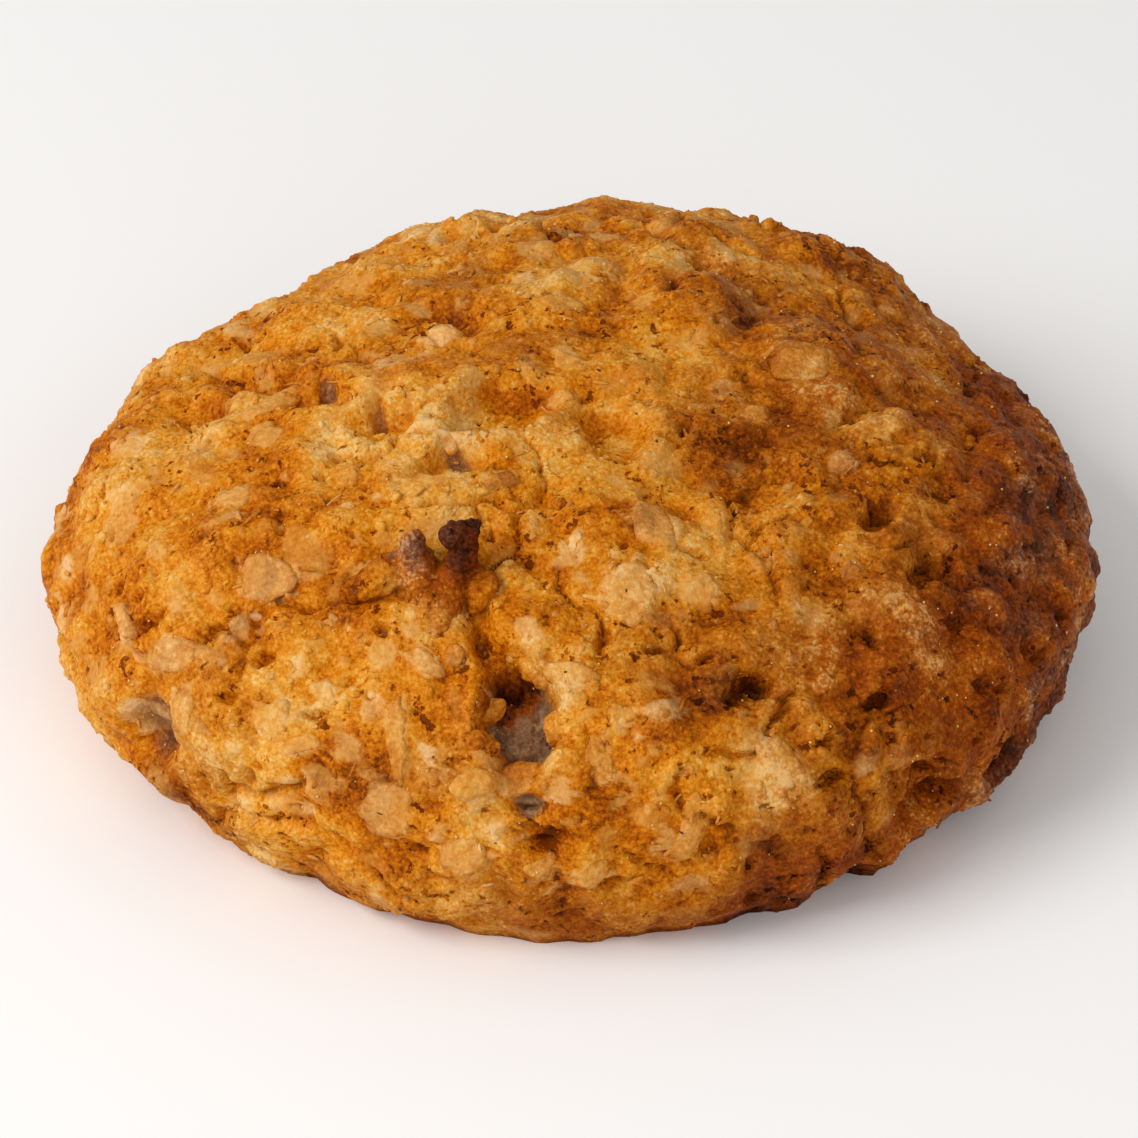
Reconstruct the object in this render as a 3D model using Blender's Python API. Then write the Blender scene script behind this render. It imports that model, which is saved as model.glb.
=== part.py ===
"""An oatmeal honey cookie, baked as one domed piece with its crags, hollows and oat flakes.

The cookie lies on its flat base at z = 0, with the origin at the middle of that base and +Z up.
The side with the big moist hollow faces -Y.

A place on the cookie is a bearing, in degrees round from +X as seen from above, and a fall, in
degrees from the crown: 0 is the crown, 100 the waist and 125 the edge of the flat base.
"""

import math
import random
from dataclasses import dataclass

import bmesh
import bpy
from mathutils import Matrix, Vector, noise

MM = 0.001
TURN = 2 * math.pi

# The whole cookie
HEIGHT = 23.4 * MM
WAIST_HEIGHT = 8.5 * MM
RIM = [radius * MM for radius in (38.6, 36.6, 37.4, 36.0, 33.5, 34.5, 36.8, 36.7, 34.7, 36.3, 36.3, 38.3)]
"""The waist's radius every 30 degrees round from +X: the dough spread a little unevenly."""
FOOT_SHARE = 0.88
"""The flat base's radius against the waist's."""
CROWN_FULLNESS = 2.2
"""Above 2, the shoulder of the dome is fuller than an ellipse's."""
WAIST_FALL = math.radians(100)
FOOT_FALL = math.radians(125)

# The mesh
CELLS = 26
"""Cells along each of the six sides of the cube that becomes the dome."""
SMOOTH_ANGLE = math.radians(50)
DEEP = 2.3 * MM
"""A dent deeper than this gets finer cells."""
REFINED_REACH = 1.15
"""How far those cells go, as a share of the way out to the dent's edge."""
FOOT_EDGE = 0.6 * MM
"""A point of the smooth dome below this height belongs to the flat base."""
LEAST_CLEARANCE = 0.3
"""Share of its height above the base that a point of the side keeps, however it is pushed."""
STILL_BASE = 0.5
"""Share of the way out to the edge of the base within which nothing is pushed."""
ROUNDING = 0.0001 * MM

# The flakes spread over the dome, beside those that are placed by name
SPREAD_FLAKES = 52
SPREAD_FALL = 103.0
"""Degrees from the crown that they go down to."""
OFF_FALL = 2.0
OFF_BEARING = 4.0
"""The most degrees that a flake lies off the spiral."""
FLAKE_LENGTHS = (3.2 * MM, 6.0 * MM)
FLAKE_WIDTHS = (0.5, 0.95)
"""As a share of the flake's length."""
FLAKE_SIDES = (5, 6, 7)
FLAKE_UNEVEN = (0.85, 1.15)
FLAKE_UNDERSIDE = 0.55
FLAKE_FACE = 0.32
"""Radii of its underside and of its face, against its length and width."""
FLAKE_THICKNESS = 1.4 * MM
FLAKE_STANDS_OUT = 0.5 * MM
MOST_TILT = math.radians(14)
LOWEST_FLAKE = 4.5 * MM
FLAKE_GAP = 1.5 * MM
SHALLOW = 0.5 * MM
"""A spread flake keeps off any dent deeper than this."""
SEED = 17


@dataclass(frozen=True)
class Relief:
    """One scale of the unevenness. Folded relief is rounded on top, with creases between."""

    size: float
    height: float
    folded: bool


RELIEF = (
    Relief(size=24 * MM, height=1.5 * MM, folded=False),
    Relief(size=9.5 * MM, height=1.0 * MM, folded=True),
    Relief(size=4.2 * MM, height=0.55 * MM, folded=True),
)
FOLD_MIDDLE = 0.4
"""What folded noise is lowered by, so that on average it neither swells nor shrinks the cookie."""


@dataclass(frozen=True)
class Dent:
    """A hollow, pit or groove, or with a depth below 0 a swelling."""

    bearing: float
    fall: float
    length: float
    width: float
    depth: float
    turn: float = 0.0
    """Degrees from running round the cookie towards running down it."""
    floor: float = 0.4
    """Share of the way out to the edge that is floor, before the wall rises."""


DENTS = (
    # the big moist hollow, its head and the crack that runs up from it
    Dent(263, 60, 11.0 * MM, 6.4 * MM, 3.6 * MM, turn=84, floor=0.6),
    Dent(259, 51, 4.6 * MM, 3.4 * MM, 1.6 * MM, turn=80),
    Dent(254, 44, 7.5 * MM, 2.8 * MM, 1.4 * MM, turn=65),
    # the smaller pits below it
    Dent(265, 80, 3.6 * MM, 2.4 * MM, 1.4 * MM),
    Dent(266, 90, 6.0 * MM, 2.4 * MM, 1.3 * MM),
    # the hollow at the left front and the notch that it leaves in the foot
    Dent(217, 97, 7.5 * MM, 6.5 * MM, 2.6 * MM, turn=70),
    Dent(212, 116, 7.0 * MM, 6.0 * MM, 2.4 * MM),
    # the undercut at the right front, below which the foot stands out
    Dent(314, 104, 8.5 * MM, 4.0 * MM, 3.0 * MM),
    Dent(326, 104, 6.5 * MM, 3.6 * MM, 2.4 * MM, turn=-20),
    Dent(304, 116, 6.0 * MM, 5.0 * MM, 1.6 * MM),
    Dent(312, 111, 4.0 * MM, 4.0 * MM, 0.9 * MM),
    Dent(319, 118, 16.0 * MM, 7.0 * MM, 1.0 * MM),
    # the valley from the left shoulder to the clump
    Dent(173, 52, 9.0 * MM, 4.0 * MM, 1.2 * MM, turn=-60),
    Dent(168, 40, 9.0 * MM, 4.0 * MM, 1.1 * MM, turn=-80),
    Dent(180, 29, 8.0 * MM, 4.0 * MM, 1.7 * MM, turn=-70),
    Dent(198, 22, 6.5 * MM, 4.0 * MM, 1.5 * MM, turn=-70),
    Dent(229, 20, 6.5 * MM, 4.0 * MM, 1.4 * MM, turn=-60),
    # pits in the right shoulder
    Dent(295, 60, 5.0 * MM, 3.0 * MM, 1.6 * MM),
    Dent(329, 54, 4.6 * MM, 3.2 * MM, 1.6 * MM),
    Dent(333, 42, 5.2 * MM, 3.0 * MM, 1.4 * MM),
    # the swell of the back right, the lobe of the back left and the flat between them
    Dent(48, 62, 26.0 * MM, 18.0 * MM, -0.4 * MM, floor=0.0),
    Dent(152, 66, 12.0 * MM, 9.0 * MM, -1.2 * MM, floor=0.1),
    Dent(130, 62, 13.0 * MM, 9.0 * MM, 1.0 * MM, floor=0.1),
    # breaks in the back and side, as the front has
    Dent(92, 84, 9.0 * MM, 4.0 * MM, 1.6 * MM, turn=15),
    Dent(36, 98, 8.0 * MM, 4.5 * MM, 1.8 * MM, turn=-10),
    Dent(132, 101, 8.0 * MM, 4.0 * MM, 1.7 * MM),
    Dent(108, 46, 6.5 * MM, 3.4 * MM, 1.6 * MM, turn=40),
    Dent(8, 76, 6.0 * MM, 3.4 * MM, 1.4 * MM, turn=70),
)


@dataclass(frozen=True)
class Flake:
    """An oat flake or a chip of one, lying on the dough or standing a little out of it."""

    bearing: float
    fall: float
    length: float
    width: float
    turn: float = 0.0
    tilt: float = 0.0
    """Radians that its downhill edge is lifted by."""
    sides: int = 8


NAMED_FLAKES = (
    Flake(219, 52, 4.6 * MM, 4.0 * MM, turn=20, tilt=0.15),
    Flake(147, 18, 4.2 * MM, 2.4 * MM, turn=10, tilt=0.2),
    Flake(291, 28, 5.4 * MM, 4.0 * MM, turn=75, tilt=0.25),
    Flake(282, 38, 4.8 * MM, 4.4 * MM, turn=30, tilt=0.1),
    Flake(16, 28, 5.4 * MM, 4.2 * MM, turn=-20, tilt=0.2),
    Flake(333, 68, 5.6 * MM, 3.4 * MM, turn=-30, tilt=0.35),
)


@dataclass(frozen=True)
class Ball:
    """One round lump of the toasted clump, off its place by across, up the slope and out."""

    across: float
    uphill: float
    out: float
    radius: float
    stretch: float = 1.0
    """Its length against its width."""
    lean: float = 0.0
    """Degrees from lying up the slope towards standing out of it."""


CLUMP_BEARING = 246.0
CLUMP_FALL = 40.0
CLUMP = (
    # the foot
    Ball(0.1 * MM, -1.3 * MM, 0.1 * MM, 2.3 * MM, 1.4),
    Ball(-2.2 * MM, -0.8 * MM, 0.1 * MM, 1.7 * MM, 1.2),
    Ball(2.1 * MM, -1.0 * MM, 0.1 * MM, 1.6 * MM, 1.4),
    # the left horn
    Ball(-1.3 * MM, 0.7 * MM, 1.6 * MM, 1.2 * MM, 2.0, lean=50),
    # the right horn, which curls over at its top
    Ball(1.0 * MM, 0.8 * MM, 1.8 * MM, 1.2 * MM, 2.4, lean=45),
    Ball(0.8 * MM, 2.3 * MM, 3.2 * MM, 1.1 * MM),
)

CRUST_COLOUR = "#B06B27"
CRUST_ROUGHNESS = 0.6


def smooth_step(low, high, value):
    """0 below low, 1 above high and an S-curve between them."""
    share = min(1.0, max(0.0, (value - low) / (high - low)))
    return share * share * (3 - 2 * share)


def linear(colour):
    """The linear RGBA of an sRGB hex colour."""
    channels = (int(colour[at:at + 2], 16) / 255 for at in (1, 3, 5))
    return (*(((c + 0.055) / 1.055) ** 2.4 if c > 0.04045 else c / 12.92 for c in channels), 1.0)


def rim_radius(around):
    """The waist's radius at an angle round, on a smooth closed curve through RIM."""
    step, share = divmod(around / TURN % 1.0 * len(RIM), 1.0)
    before, start, end, after = (RIM[(int(step) + offset) % len(RIM)] for offset in (-1, 0, 1, 2))
    slope = (end - before) / 2
    bend = before - 2.5 * start + 2 * end - after / 2
    twist = (after - before) / 2 + 1.5 * (start - end)
    return start + share * (slope + share * (bend + share * twist))


def dome_point(direction):
    """The point of the smooth dome, before any relief, that a unit direction stands for."""
    fall = math.acos(max(-1.0, min(1.0, direction.z)))
    around = math.atan2(direction.y, direction.x)
    rim = rim_radius(around)
    if fall < WAIST_FALL:
        share = fall / WAIST_FALL * math.pi / 2
        radius = rim * math.sin(share) ** (2 / CROWN_FULLNESS)
        height = WAIST_HEIGHT + (HEIGHT - WAIST_HEIGHT) * math.cos(share)
    elif fall < FOOT_FALL:
        share = (fall - WAIST_FALL) / (FOOT_FALL - WAIST_FALL) * math.pi / 2
        radius = rim * (FOOT_SHARE + (1 - FOOT_SHARE) * math.cos(share))
        height = WAIST_HEIGHT * (1 - math.sin(share))
    else:
        radius = rim * FOOT_SHARE * (math.pi - fall) / (math.pi - FOOT_FALL)
        height = 0.0
    return Vector((radius * math.cos(around), radius * math.sin(around), height))


def direction_of(bearing, fall):
    """The unit direction of a bearing and a fall in degrees."""
    around, down = math.radians(bearing), math.radians(fall)
    return Vector((math.sin(down) * math.cos(around), math.sin(down) * math.sin(around), math.cos(down)))


def smooth_frame(bearing, fall, turn=0.0):
    """A frame on the smooth dome: X round the cookie, Y up the slope and Z out, turned about Z."""
    point = dome_point(direction_of(bearing, fall))
    uphill = (dome_point(direction_of(bearing, fall - 1)) - point).normalized()
    round_it = Vector((-math.sin(math.radians(bearing)), math.cos(math.radians(bearing)), 0.0))
    out = round_it.cross(uphill).normalized()
    across = uphill.cross(out)
    frame = Matrix((across, uphill, out)).transposed().to_4x4()
    return Matrix.Translation(point) @ frame @ Matrix.Rotation(math.radians(turn), 4, "Z")


DENT_FRAMES = [(dent, smooth_frame(dent.bearing, dent.fall, -dent.turn).inverted()) for dent in DENTS]


def relief(point):
    """How far the baked surface stands out from the smooth dome at a point of it, dents left out."""
    height = 0.0
    for layer in RELIEF:
        swell = noise.noise(point / layer.size)
        height += layer.height * (2 * abs(swell) - FOLD_MIDDLE if layer.folded else swell)
    return height


def dents(point):
    """How far the dents take the surface in at a point of the smooth dome."""
    depth = 0.0
    for dent, to_dent in DENT_FRAMES:
        local = to_dent @ point
        reach = math.hypot(2 * local.x / dent.length, 2 * local.y / dent.width)
        if reach < 1:
            depth += dent.depth * (1 - smooth_step(dent.floor, 1.0, reach))
    return depth


def baked_point(point, normal):
    """Where a point of the smooth dome ends up. The base stays flat, and its edge moves level."""
    if point.z < FOOT_EDGE:
        flat = Vector((point.x, point.y, 0))
        edge = flat.length / (FOOT_SHARE * rim_radius(math.atan2(point.y, point.x)))
        return flat + flat.normalized() * (relief(point) - dents(point)) * smooth_step(STILL_BASE, 1.0, edge)
    way_out = Vector((normal.x, normal.y, normal.z * smooth_step(0, WAIST_HEIGHT, point.z))).normalized()
    baked = point + way_out * (relief(point) - dents(point))
    baked.z = max(baked.z, LEAST_CLEARANCE * point.z)
    return baked


def cube_ball(cells):
    """A ball of even cells, made from a cube, as a bmesh of radius 1."""
    mesh = bmesh.new()
    bmesh.ops.create_cube(mesh, size=2)
    bmesh.ops.subdivide_edges(mesh, edges=mesh.edges[:], cuts=cells - 1, use_grid_fill=True)
    for vert in mesh.verts:
        vert.co = Vector(math.tan(side * math.pi / 4) for side in vert.co).normalized()
    return mesh


def refine(mesh, dent, to_dent):
    """Halves the cells under a deep dent, so that its walls keep their shape."""
    edges = []
    for edge in mesh.edges:
        local = to_dent @ ((edge.verts[0].co + edge.verts[1].co) / 2)
        if math.hypot(2 * local.x / dent.length, 2 * local.y / dent.width) < REFINED_REACH:
            edges.append(edge)
    bmesh.ops.subdivide_edges(mesh, edges=edges, cuts=1, use_grid_fill=True)


def new_object(name, mesh, collection):
    """A named object with this bmesh as its mesh, in a collection."""
    data = bpy.data.meshes.new(name)
    mesh.to_mesh(data)
    mesh.free()
    obj = bpy.data.objects.new(name, data)
    collection.objects.link(obj)
    return obj


def make_dome(collection):
    """The dough: the dome with its relief and dents, on a flat base."""
    mesh = cube_ball(CELLS)
    for vert in mesh.verts:
        vert.co = dome_point(vert.co)
    for dent, to_dent in DENT_FRAMES:
        if dent.depth > DEEP:
            refine(mesh, dent, to_dent)
    mesh.normal_update()
    places = [baked_point(vert.co, vert.normal) for vert in mesh.verts]
    for vert, place in zip(mesh.verts, places):
        vert.co = place
    base = [face for face in mesh.faces if all(vert.co.z < ROUNDING for vert in face.verts)]
    bmesh.ops.dissolve_faces(mesh, faces=base)
    bmesh.ops.triangulate(mesh, faces=mesh.faces[:])
    return new_object("cookie", mesh, collection)


def surface_frame(bearing, fall, turn=0.0):
    """As smooth_frame, moved in or out to the baked surface."""
    frame = smooth_frame(bearing, fall, turn)
    point, out = frame.translation, frame.col[2].to_3d()
    return Matrix.Translation(out * (relief(point) - dents(point))) @ frame


def make_flake(flake, draw, collection):
    """A wafer with an uneven outline, mostly sunk in the dough, and tilted."""
    mesh = bmesh.new()
    bmesh.ops.create_cone(
        mesh, cap_ends=True, segments=flake.sides, radius1=FLAKE_UNDERSIDE, radius2=FLAKE_FACE,
        depth=FLAKE_THICKNESS
    )
    for vert in mesh.verts:
        uneven = draw.uniform(*FLAKE_UNEVEN)
        vert.co = Vector((vert.co.x * flake.length * uneven, vert.co.y * flake.width * uneven, vert.co.z))
    place = surface_frame(flake.bearing, flake.fall, flake.turn)
    lean = Matrix.Rotation(-flake.tilt, 4, "X")
    sink = Matrix.Translation((0, 0, FLAKE_STANDS_OUT - FLAKE_THICKNESS / 2))
    bmesh.ops.transform(mesh, matrix=place @ sink @ lean, verts=mesh.verts[:])
    bmesh.ops.triangulate(mesh, faces=mesh.faces[:])
    return new_object("flake", mesh, collection)


def spread_flakes(draw):
    """Flakes at even gaps over the dome, on a spiral from the crown down, each a little off it."""
    flakes = []
    golden = math.degrees(TURN * (2 - (1 + math.sqrt(5)) / 2))
    lowest = math.cos(math.radians(SPREAD_FALL))
    taken = [dome_point(direction_of(named.bearing, named.fall)) for named in NAMED_FLAKES]
    taken.append(dome_point(direction_of(CLUMP_BEARING, CLUMP_FALL)))
    for count in range(SPREAD_FLAKES):
        fall = math.degrees(math.acos(1 - (1 - lowest) * (count + 0.5) / SPREAD_FLAKES))
        fall += draw.uniform(-OFF_FALL, OFF_FALL)
        bearing = (golden * count + draw.uniform(-OFF_BEARING, OFF_BEARING)) % 360
        length = draw.uniform(*FLAKE_LENGTHS)
        width = length * draw.uniform(*FLAKE_WIDTHS)
        turn, tilt, sides = draw.uniform(0, 180), draw.uniform(-MOST_TILT, MOST_TILT), draw.choice(FLAKE_SIDES)
        place = dome_point(direction_of(bearing, fall))
        near = min((place - other).length for other in taken)
        if place.z > LOWEST_FLAKE and near > length / 2 + FLAKE_GAP and dents(place) < SHALLOW:
            flakes.append(Flake(bearing, fall, length, width, turn, tilt, sides))
    return flakes


def make_ball(ball, frame, collection):
    """One lump of the toasted clump."""
    mesh = bmesh.new()
    bmesh.ops.create_icosphere(mesh, subdivisions=2, radius=ball.radius)
    bmesh.ops.scale(mesh, vec=(1, ball.stretch, 1), verts=mesh.verts[:])
    bmesh.ops.rotate(mesh, matrix=Matrix.Rotation(math.radians(ball.lean), 3, "X"), verts=mesh.verts[:])
    place = frame @ Matrix.Translation((ball.across, ball.uphill, ball.out))
    bmesh.ops.transform(mesh, matrix=place, verts=mesh.verts[:])
    return new_object("lump", mesh, collection)


def fuse(cookie, pieces):
    """Joins a collection's pieces to the cookie, and removes them."""
    join = cookie.modifiers.new("Fused pieces", "BOOLEAN")
    join.operation = "UNION"
    join.operand_type = "COLLECTION"
    join.collection = pieces
    join.solver = "EXACT"
    graph = bpy.context.evaluated_depsgraph_get()
    fused = bpy.data.meshes.new_from_object(cookie.evaluated_get(graph))
    cookie.modifiers.clear()
    cookie.data = fused
    for obj in list(pieces.objects):
        bpy.data.objects.remove(obj)
    bpy.data.collections.remove(pieces)


def keep_outer_shell(cookie):
    """Drops what the join left loose: scraps, and the walls of gaps that it closed off."""
    mesh = bmesh.new()
    mesh.from_mesh(cookie.data)
    left = set(mesh.verts)
    shells = []
    while left:
        shell, edge_of_it = set(), [left.pop()]
        while edge_of_it:
            vert = edge_of_it.pop()
            shell.add(vert)
            nearby = {edge.other_vert(vert) for edge in vert.link_edges} & left
            left -= nearby
            edge_of_it.extend(nearby)
        shells.append(shell)
    shells.sort(key=len)
    loose = [vert for shell in shells[:-1] for vert in shell]
    bmesh.ops.delete(mesh, geom=loose, context="VERTS")
    mesh.to_mesh(cookie.data)
    mesh.free()


def dress(cookie):
    """Smooth shading and the baked crust's colour."""
    cookie.data.shade_smooth()
    cookie.data.set_sharp_from_angle(angle=SMOOTH_ANGLE)
    crust = bpy.data.materials.new("baked oat dough")
    crust.use_nodes = True
    shader = crust.node_tree.nodes["Principled BSDF"]
    shader.inputs["Base Color"].default_value = linear(CRUST_COLOUR)
    shader.inputs["Roughness"].default_value = CRUST_ROUGHNESS
    shader.inputs["Metallic"].default_value = 0.0
    cookie.data.materials.clear()
    cookie.data.materials.append(crust)


def main():
    for obj in list(bpy.data.objects):
        bpy.data.objects.remove(obj)
    draw = random.Random(SEED)
    cookie = make_dome(bpy.context.scene.collection)
    pieces = bpy.data.collections.new("pieces")
    bpy.context.scene.collection.children.link(pieces)
    for flake in (*NAMED_FLAKES, *spread_flakes(draw)):
        make_flake(flake, draw, pieces)
    clump_frame = surface_frame(CLUMP_BEARING, CLUMP_FALL)
    for ball in CLUMP:
        make_ball(ball, clump_frame, pieces)
    fuse(cookie, pieces)
    keep_outer_shell(cookie)
    dress(cookie)


main()
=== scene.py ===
"""Dresses the oatmeal honey cookie: its crumb, oats, toasted clump and sugar, in a plain studio.

Lengths are in metres. A place on the cookie is a bearing, in degrees round from +X as seen from above, and
a fall, in degrees from the crown: 0 is the crown, 100 the waist and 125 the edge of the flat base. A thing
that the photograph shows is placed by the pixel it is seen at, in the photograph's own frame, and lies on
the surface there.
"""

import logging
import math
import random
from collections.abc import Iterable, Sequence
from dataclasses import dataclass, field
from enum import Enum

import bmesh
import bpy
import numpy as np
from mathutils import Matrix, Vector, noise
from mathutils.bvhtree import BVHTree
from mathutils.kdtree import KDTree


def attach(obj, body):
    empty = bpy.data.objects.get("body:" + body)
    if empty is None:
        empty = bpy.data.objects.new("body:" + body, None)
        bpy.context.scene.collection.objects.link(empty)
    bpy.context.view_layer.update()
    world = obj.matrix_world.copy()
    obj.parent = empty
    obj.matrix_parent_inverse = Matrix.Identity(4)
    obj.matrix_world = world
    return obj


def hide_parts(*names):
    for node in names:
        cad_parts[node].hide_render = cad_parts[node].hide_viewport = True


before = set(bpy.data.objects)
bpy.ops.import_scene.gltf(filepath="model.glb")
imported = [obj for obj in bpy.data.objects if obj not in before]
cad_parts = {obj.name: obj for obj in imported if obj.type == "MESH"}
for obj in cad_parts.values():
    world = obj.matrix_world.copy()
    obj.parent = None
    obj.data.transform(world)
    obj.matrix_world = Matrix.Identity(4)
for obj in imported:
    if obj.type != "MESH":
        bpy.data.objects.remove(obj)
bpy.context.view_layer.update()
NOISE_SEED = 7
noise.seed_set(NOISE_SEED)

LOG = logging.getLogger("cookie")
BODY = "root"
NODE = "cookie"

MM = 0.001
TURN = 2 * math.pi
PHOTO_SIZE = 1138
"""The photograph's width and height, in pixels."""

# The whole cookie, as its solid has it
HEIGHT = 23.4 * MM
WAIST_HEIGHT = 8.5 * MM
RIM = [radius * MM for radius in (38.6, 36.6, 37.4, 36.0, 33.5, 34.5, 36.8, 36.7, 34.7, 36.3, 36.3, 38.3)]
"""The waist's radius every 30 degrees round from +X."""
FOOT_SHARE = 0.88
CROWN_FULLNESS = 2.2
WAIST_FALL = math.radians(100)
FOOT_FALL = math.radians(125)
FOOT_EDGE = 0.6 * MM
"""Below this height the surface is the base's."""
LEAST_CLEARANCE = 0.3
"""No relief takes a point lower than this share of its height on the smooth dome."""


class Swell(Enum):
    """How one scale of relief rises and falls."""

    EVEN = "even"
    FOLDED = "folded"
    """Rounded on top, with creases between."""


@dataclass(frozen=True)
class Relief:
    """One scale of the unevenness."""

    size: float
    height: float
    swell: Swell = Swell.EVEN


BROAD_RELIEF = (
    Relief(24 * MM, 1.5 * MM),
    Relief(9.5 * MM, 1.0 * MM, Swell.FOLDED),
    Relief(4.2 * MM, 0.55 * MM, Swell.FOLDED),
)
FOLD_MIDDLE = 0.4
"""What folded noise is lowered by, so that on average it neither swells nor shrinks the cookie."""
FINE_RELIEF = (Relief(2.1 * MM, 0.24 * MM), Relief(1.0 * MM, 0.20 * MM), Relief(0.55 * MM, 0.16 * MM))
GRAIN_RELIEF = (Relief(1.9 * MM, 0.12 * MM), Relief(0.9 * MM, 0.12 * MM))
"""Rounded grains with creases between them, by the grains' size."""
CREASE = 0.45
"""The creases' width, as a share of a grain."""
GRAIN_ROUNDING = 0.7
GRAINS_SHAKEN = (1.2 * MM, 0.3 * MM)
"""The size of the noise that loosens the grains, and how far it moves them."""
RAGGED_SIZE = 1.7 * MM
RAGGED_BY = 0.55 * MM
"""How far the edge of a dent or a stain strays."""

CRACK_LINES_AT = Vector((7, 3, 1))
CRACK_PATCHES_AT = Vector((2, 9, 4))
BROWN_PATCHES_AT = Vector((5, 1, 8))
"""Offsets into the same noise, so that its patterns don't follow each other."""


@dataclass(frozen=True)
class Dent:
    """A hollow, pit or groove, or with a depth below 0 a swelling."""

    bearing: float
    fall: float
    length: float
    width: float
    depth: float
    turn: float = 0.0
    floor: float = 0.4
    """The share of the way out to its edge that is level."""

    def reach(self, local: Vector, margin: float = 0.0) -> float:
        """How far out a point in the dent's own frame lies, from 0 in the middle to 1 at the edge."""
        return math.hypot(2 * local.x / (self.length + margin), 2 * local.y / (self.width + margin))


DENTS = (
    # the big moist hollow, its head and the crack that runs up from it
    Dent(263, 60, 11.0 * MM, 6.4 * MM, 3.6 * MM, turn=84, floor=0.6),
    Dent(259, 51, 4.6 * MM, 3.4 * MM, 1.6 * MM, turn=80),
    Dent(254, 44, 7.5 * MM, 2.8 * MM, 1.4 * MM, turn=65),
    # the smaller pits below it
    Dent(265, 80, 3.6 * MM, 2.4 * MM, 1.4 * MM),
    Dent(266, 90, 6.0 * MM, 2.4 * MM, 1.3 * MM),
    # the hollow at the left front and the notch that it leaves in the foot
    Dent(217, 97, 7.5 * MM, 6.5 * MM, 2.6 * MM, turn=70),
    Dent(212, 116, 7.0 * MM, 6.0 * MM, 2.4 * MM),
    # the undercut at the right front, below which the foot stands out
    Dent(314, 104, 8.5 * MM, 4.0 * MM, 3.0 * MM),
    Dent(326, 104, 6.5 * MM, 3.6 * MM, 2.4 * MM, turn=-20),
    Dent(304, 116, 6.0 * MM, 5.0 * MM, 1.6 * MM),
    Dent(312, 111, 4.0 * MM, 4.0 * MM, 0.9 * MM),
    Dent(319, 118, 16.0 * MM, 7.0 * MM, 1.0 * MM),
    # the valley from the left shoulder to the clump
    Dent(173, 52, 9.0 * MM, 4.0 * MM, 1.2 * MM, turn=-60),
    Dent(168, 40, 9.0 * MM, 4.0 * MM, 1.1 * MM, turn=-80),
    Dent(180, 29, 8.0 * MM, 4.0 * MM, 1.7 * MM, turn=-70),
    Dent(198, 22, 6.5 * MM, 4.0 * MM, 1.5 * MM, turn=-70),
    Dent(229, 20, 6.5 * MM, 4.0 * MM, 1.4 * MM, turn=-60),
    # pits in the right shoulder
    Dent(295, 60, 5.0 * MM, 3.0 * MM, 1.6 * MM),
    Dent(329, 54, 4.6 * MM, 3.2 * MM, 1.6 * MM),
    Dent(333, 42, 5.2 * MM, 3.0 * MM, 1.4 * MM),
    # the swell of the back right, the lobe of the back left and the flat between them
    Dent(48, 62, 26.0 * MM, 18.0 * MM, -0.4 * MM, floor=0.0),
    Dent(152, 66, 12.0 * MM, 9.0 * MM, -1.2 * MM, floor=0.1),
    Dent(130, 62, 13.0 * MM, 9.0 * MM, 1.0 * MM, floor=0.1),
    # breaks in the back and side, as the front has
    Dent(92, 84, 9.0 * MM, 4.0 * MM, 1.6 * MM, turn=15),
    Dent(36, 98, 8.0 * MM, 4.5 * MM, 1.8 * MM, turn=-10),
    Dent(132, 101, 8.0 * MM, 4.0 * MM, 1.7 * MM),
    Dent(108, 46, 6.5 * MM, 3.4 * MM, 1.6 * MM, turn=40),
    Dent(8, 76, 6.0 * MM, 3.4 * MM, 1.4 * MM, turn=70),
)


def smooth_step(low: float, high: float, value: float) -> float:
    """An S-curve between two values.

    Args:
        low: the value at and below which the result is 0.
        high: the value at and above which the result is 1.
        value: where to read the curve.

    Returns:
        A share from 0 to 1.
    """
    share = min(1.0, max(0.0, (value - low) / (high - low)))
    return share * share * (3 - 2 * share)


def linear(colour: str) -> tuple[float, float, float, float]:
    """The linear RGBA of an sRGB hex colour.

    Args:
        colour: such as "#D08A38".

    Returns:
        Red, green, blue and alpha, as a shader takes them.
    """
    channels = (int(colour[at:at + 2], 16) / 255 for at in (1, 3, 5))
    red, green, blue = (((c + 0.055) / 1.055) ** 2.4 if c > 0.04045 else c / 12.92 for c in channels)
    return red, green, blue, 1.0


def rim_radius(around: float) -> float:
    """The waist's radius on a smooth closed curve through RIM.

    Args:
        around: the angle round from +X, in radians.

    Returns:
        The radius, in metres.
    """
    step, share = divmod(around / TURN % 1.0 * len(RIM), 1.0)
    before, start, end, after = (RIM[(int(step) + offset) % len(RIM)] for offset in (-1, 0, 1, 2))
    slope = (end - before) / 2
    bend = before - 2.5 * start + 2 * end - after / 2
    twist = (after - before) / 2 + 1.5 * (start - end)
    return start + share * (slope + share * (bend + share * twist))


def dome_point(direction: Vector) -> Vector:
    """The point of the smooth dome, before any relief, that a unit direction stands for.

    Args:
        direction: from the middle of the cookie.

    Returns:
        The point, in metres.
    """
    fall = math.acos(max(-1.0, min(1.0, direction.z)))
    around = math.atan2(direction.y, direction.x)
    rim = rim_radius(around)
    if fall < WAIST_FALL:
        share = fall / WAIST_FALL * math.pi / 2
        radius = rim * math.sin(share) ** (2 / CROWN_FULLNESS)
        height = WAIST_HEIGHT + (HEIGHT - WAIST_HEIGHT) * math.cos(share)
    elif fall < FOOT_FALL:
        share = (fall - WAIST_FALL) / (FOOT_FALL - WAIST_FALL) * math.pi / 2
        radius = rim * (FOOT_SHARE + (1 - FOOT_SHARE) * math.cos(share))
        height = WAIST_HEIGHT * (1 - math.sin(share))
    else:
        radius = rim * FOOT_SHARE * (math.pi - fall) / (math.pi - FOOT_FALL)
        height = 0.0
    return Vector((radius * math.cos(around), radius * math.sin(around), height))


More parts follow.
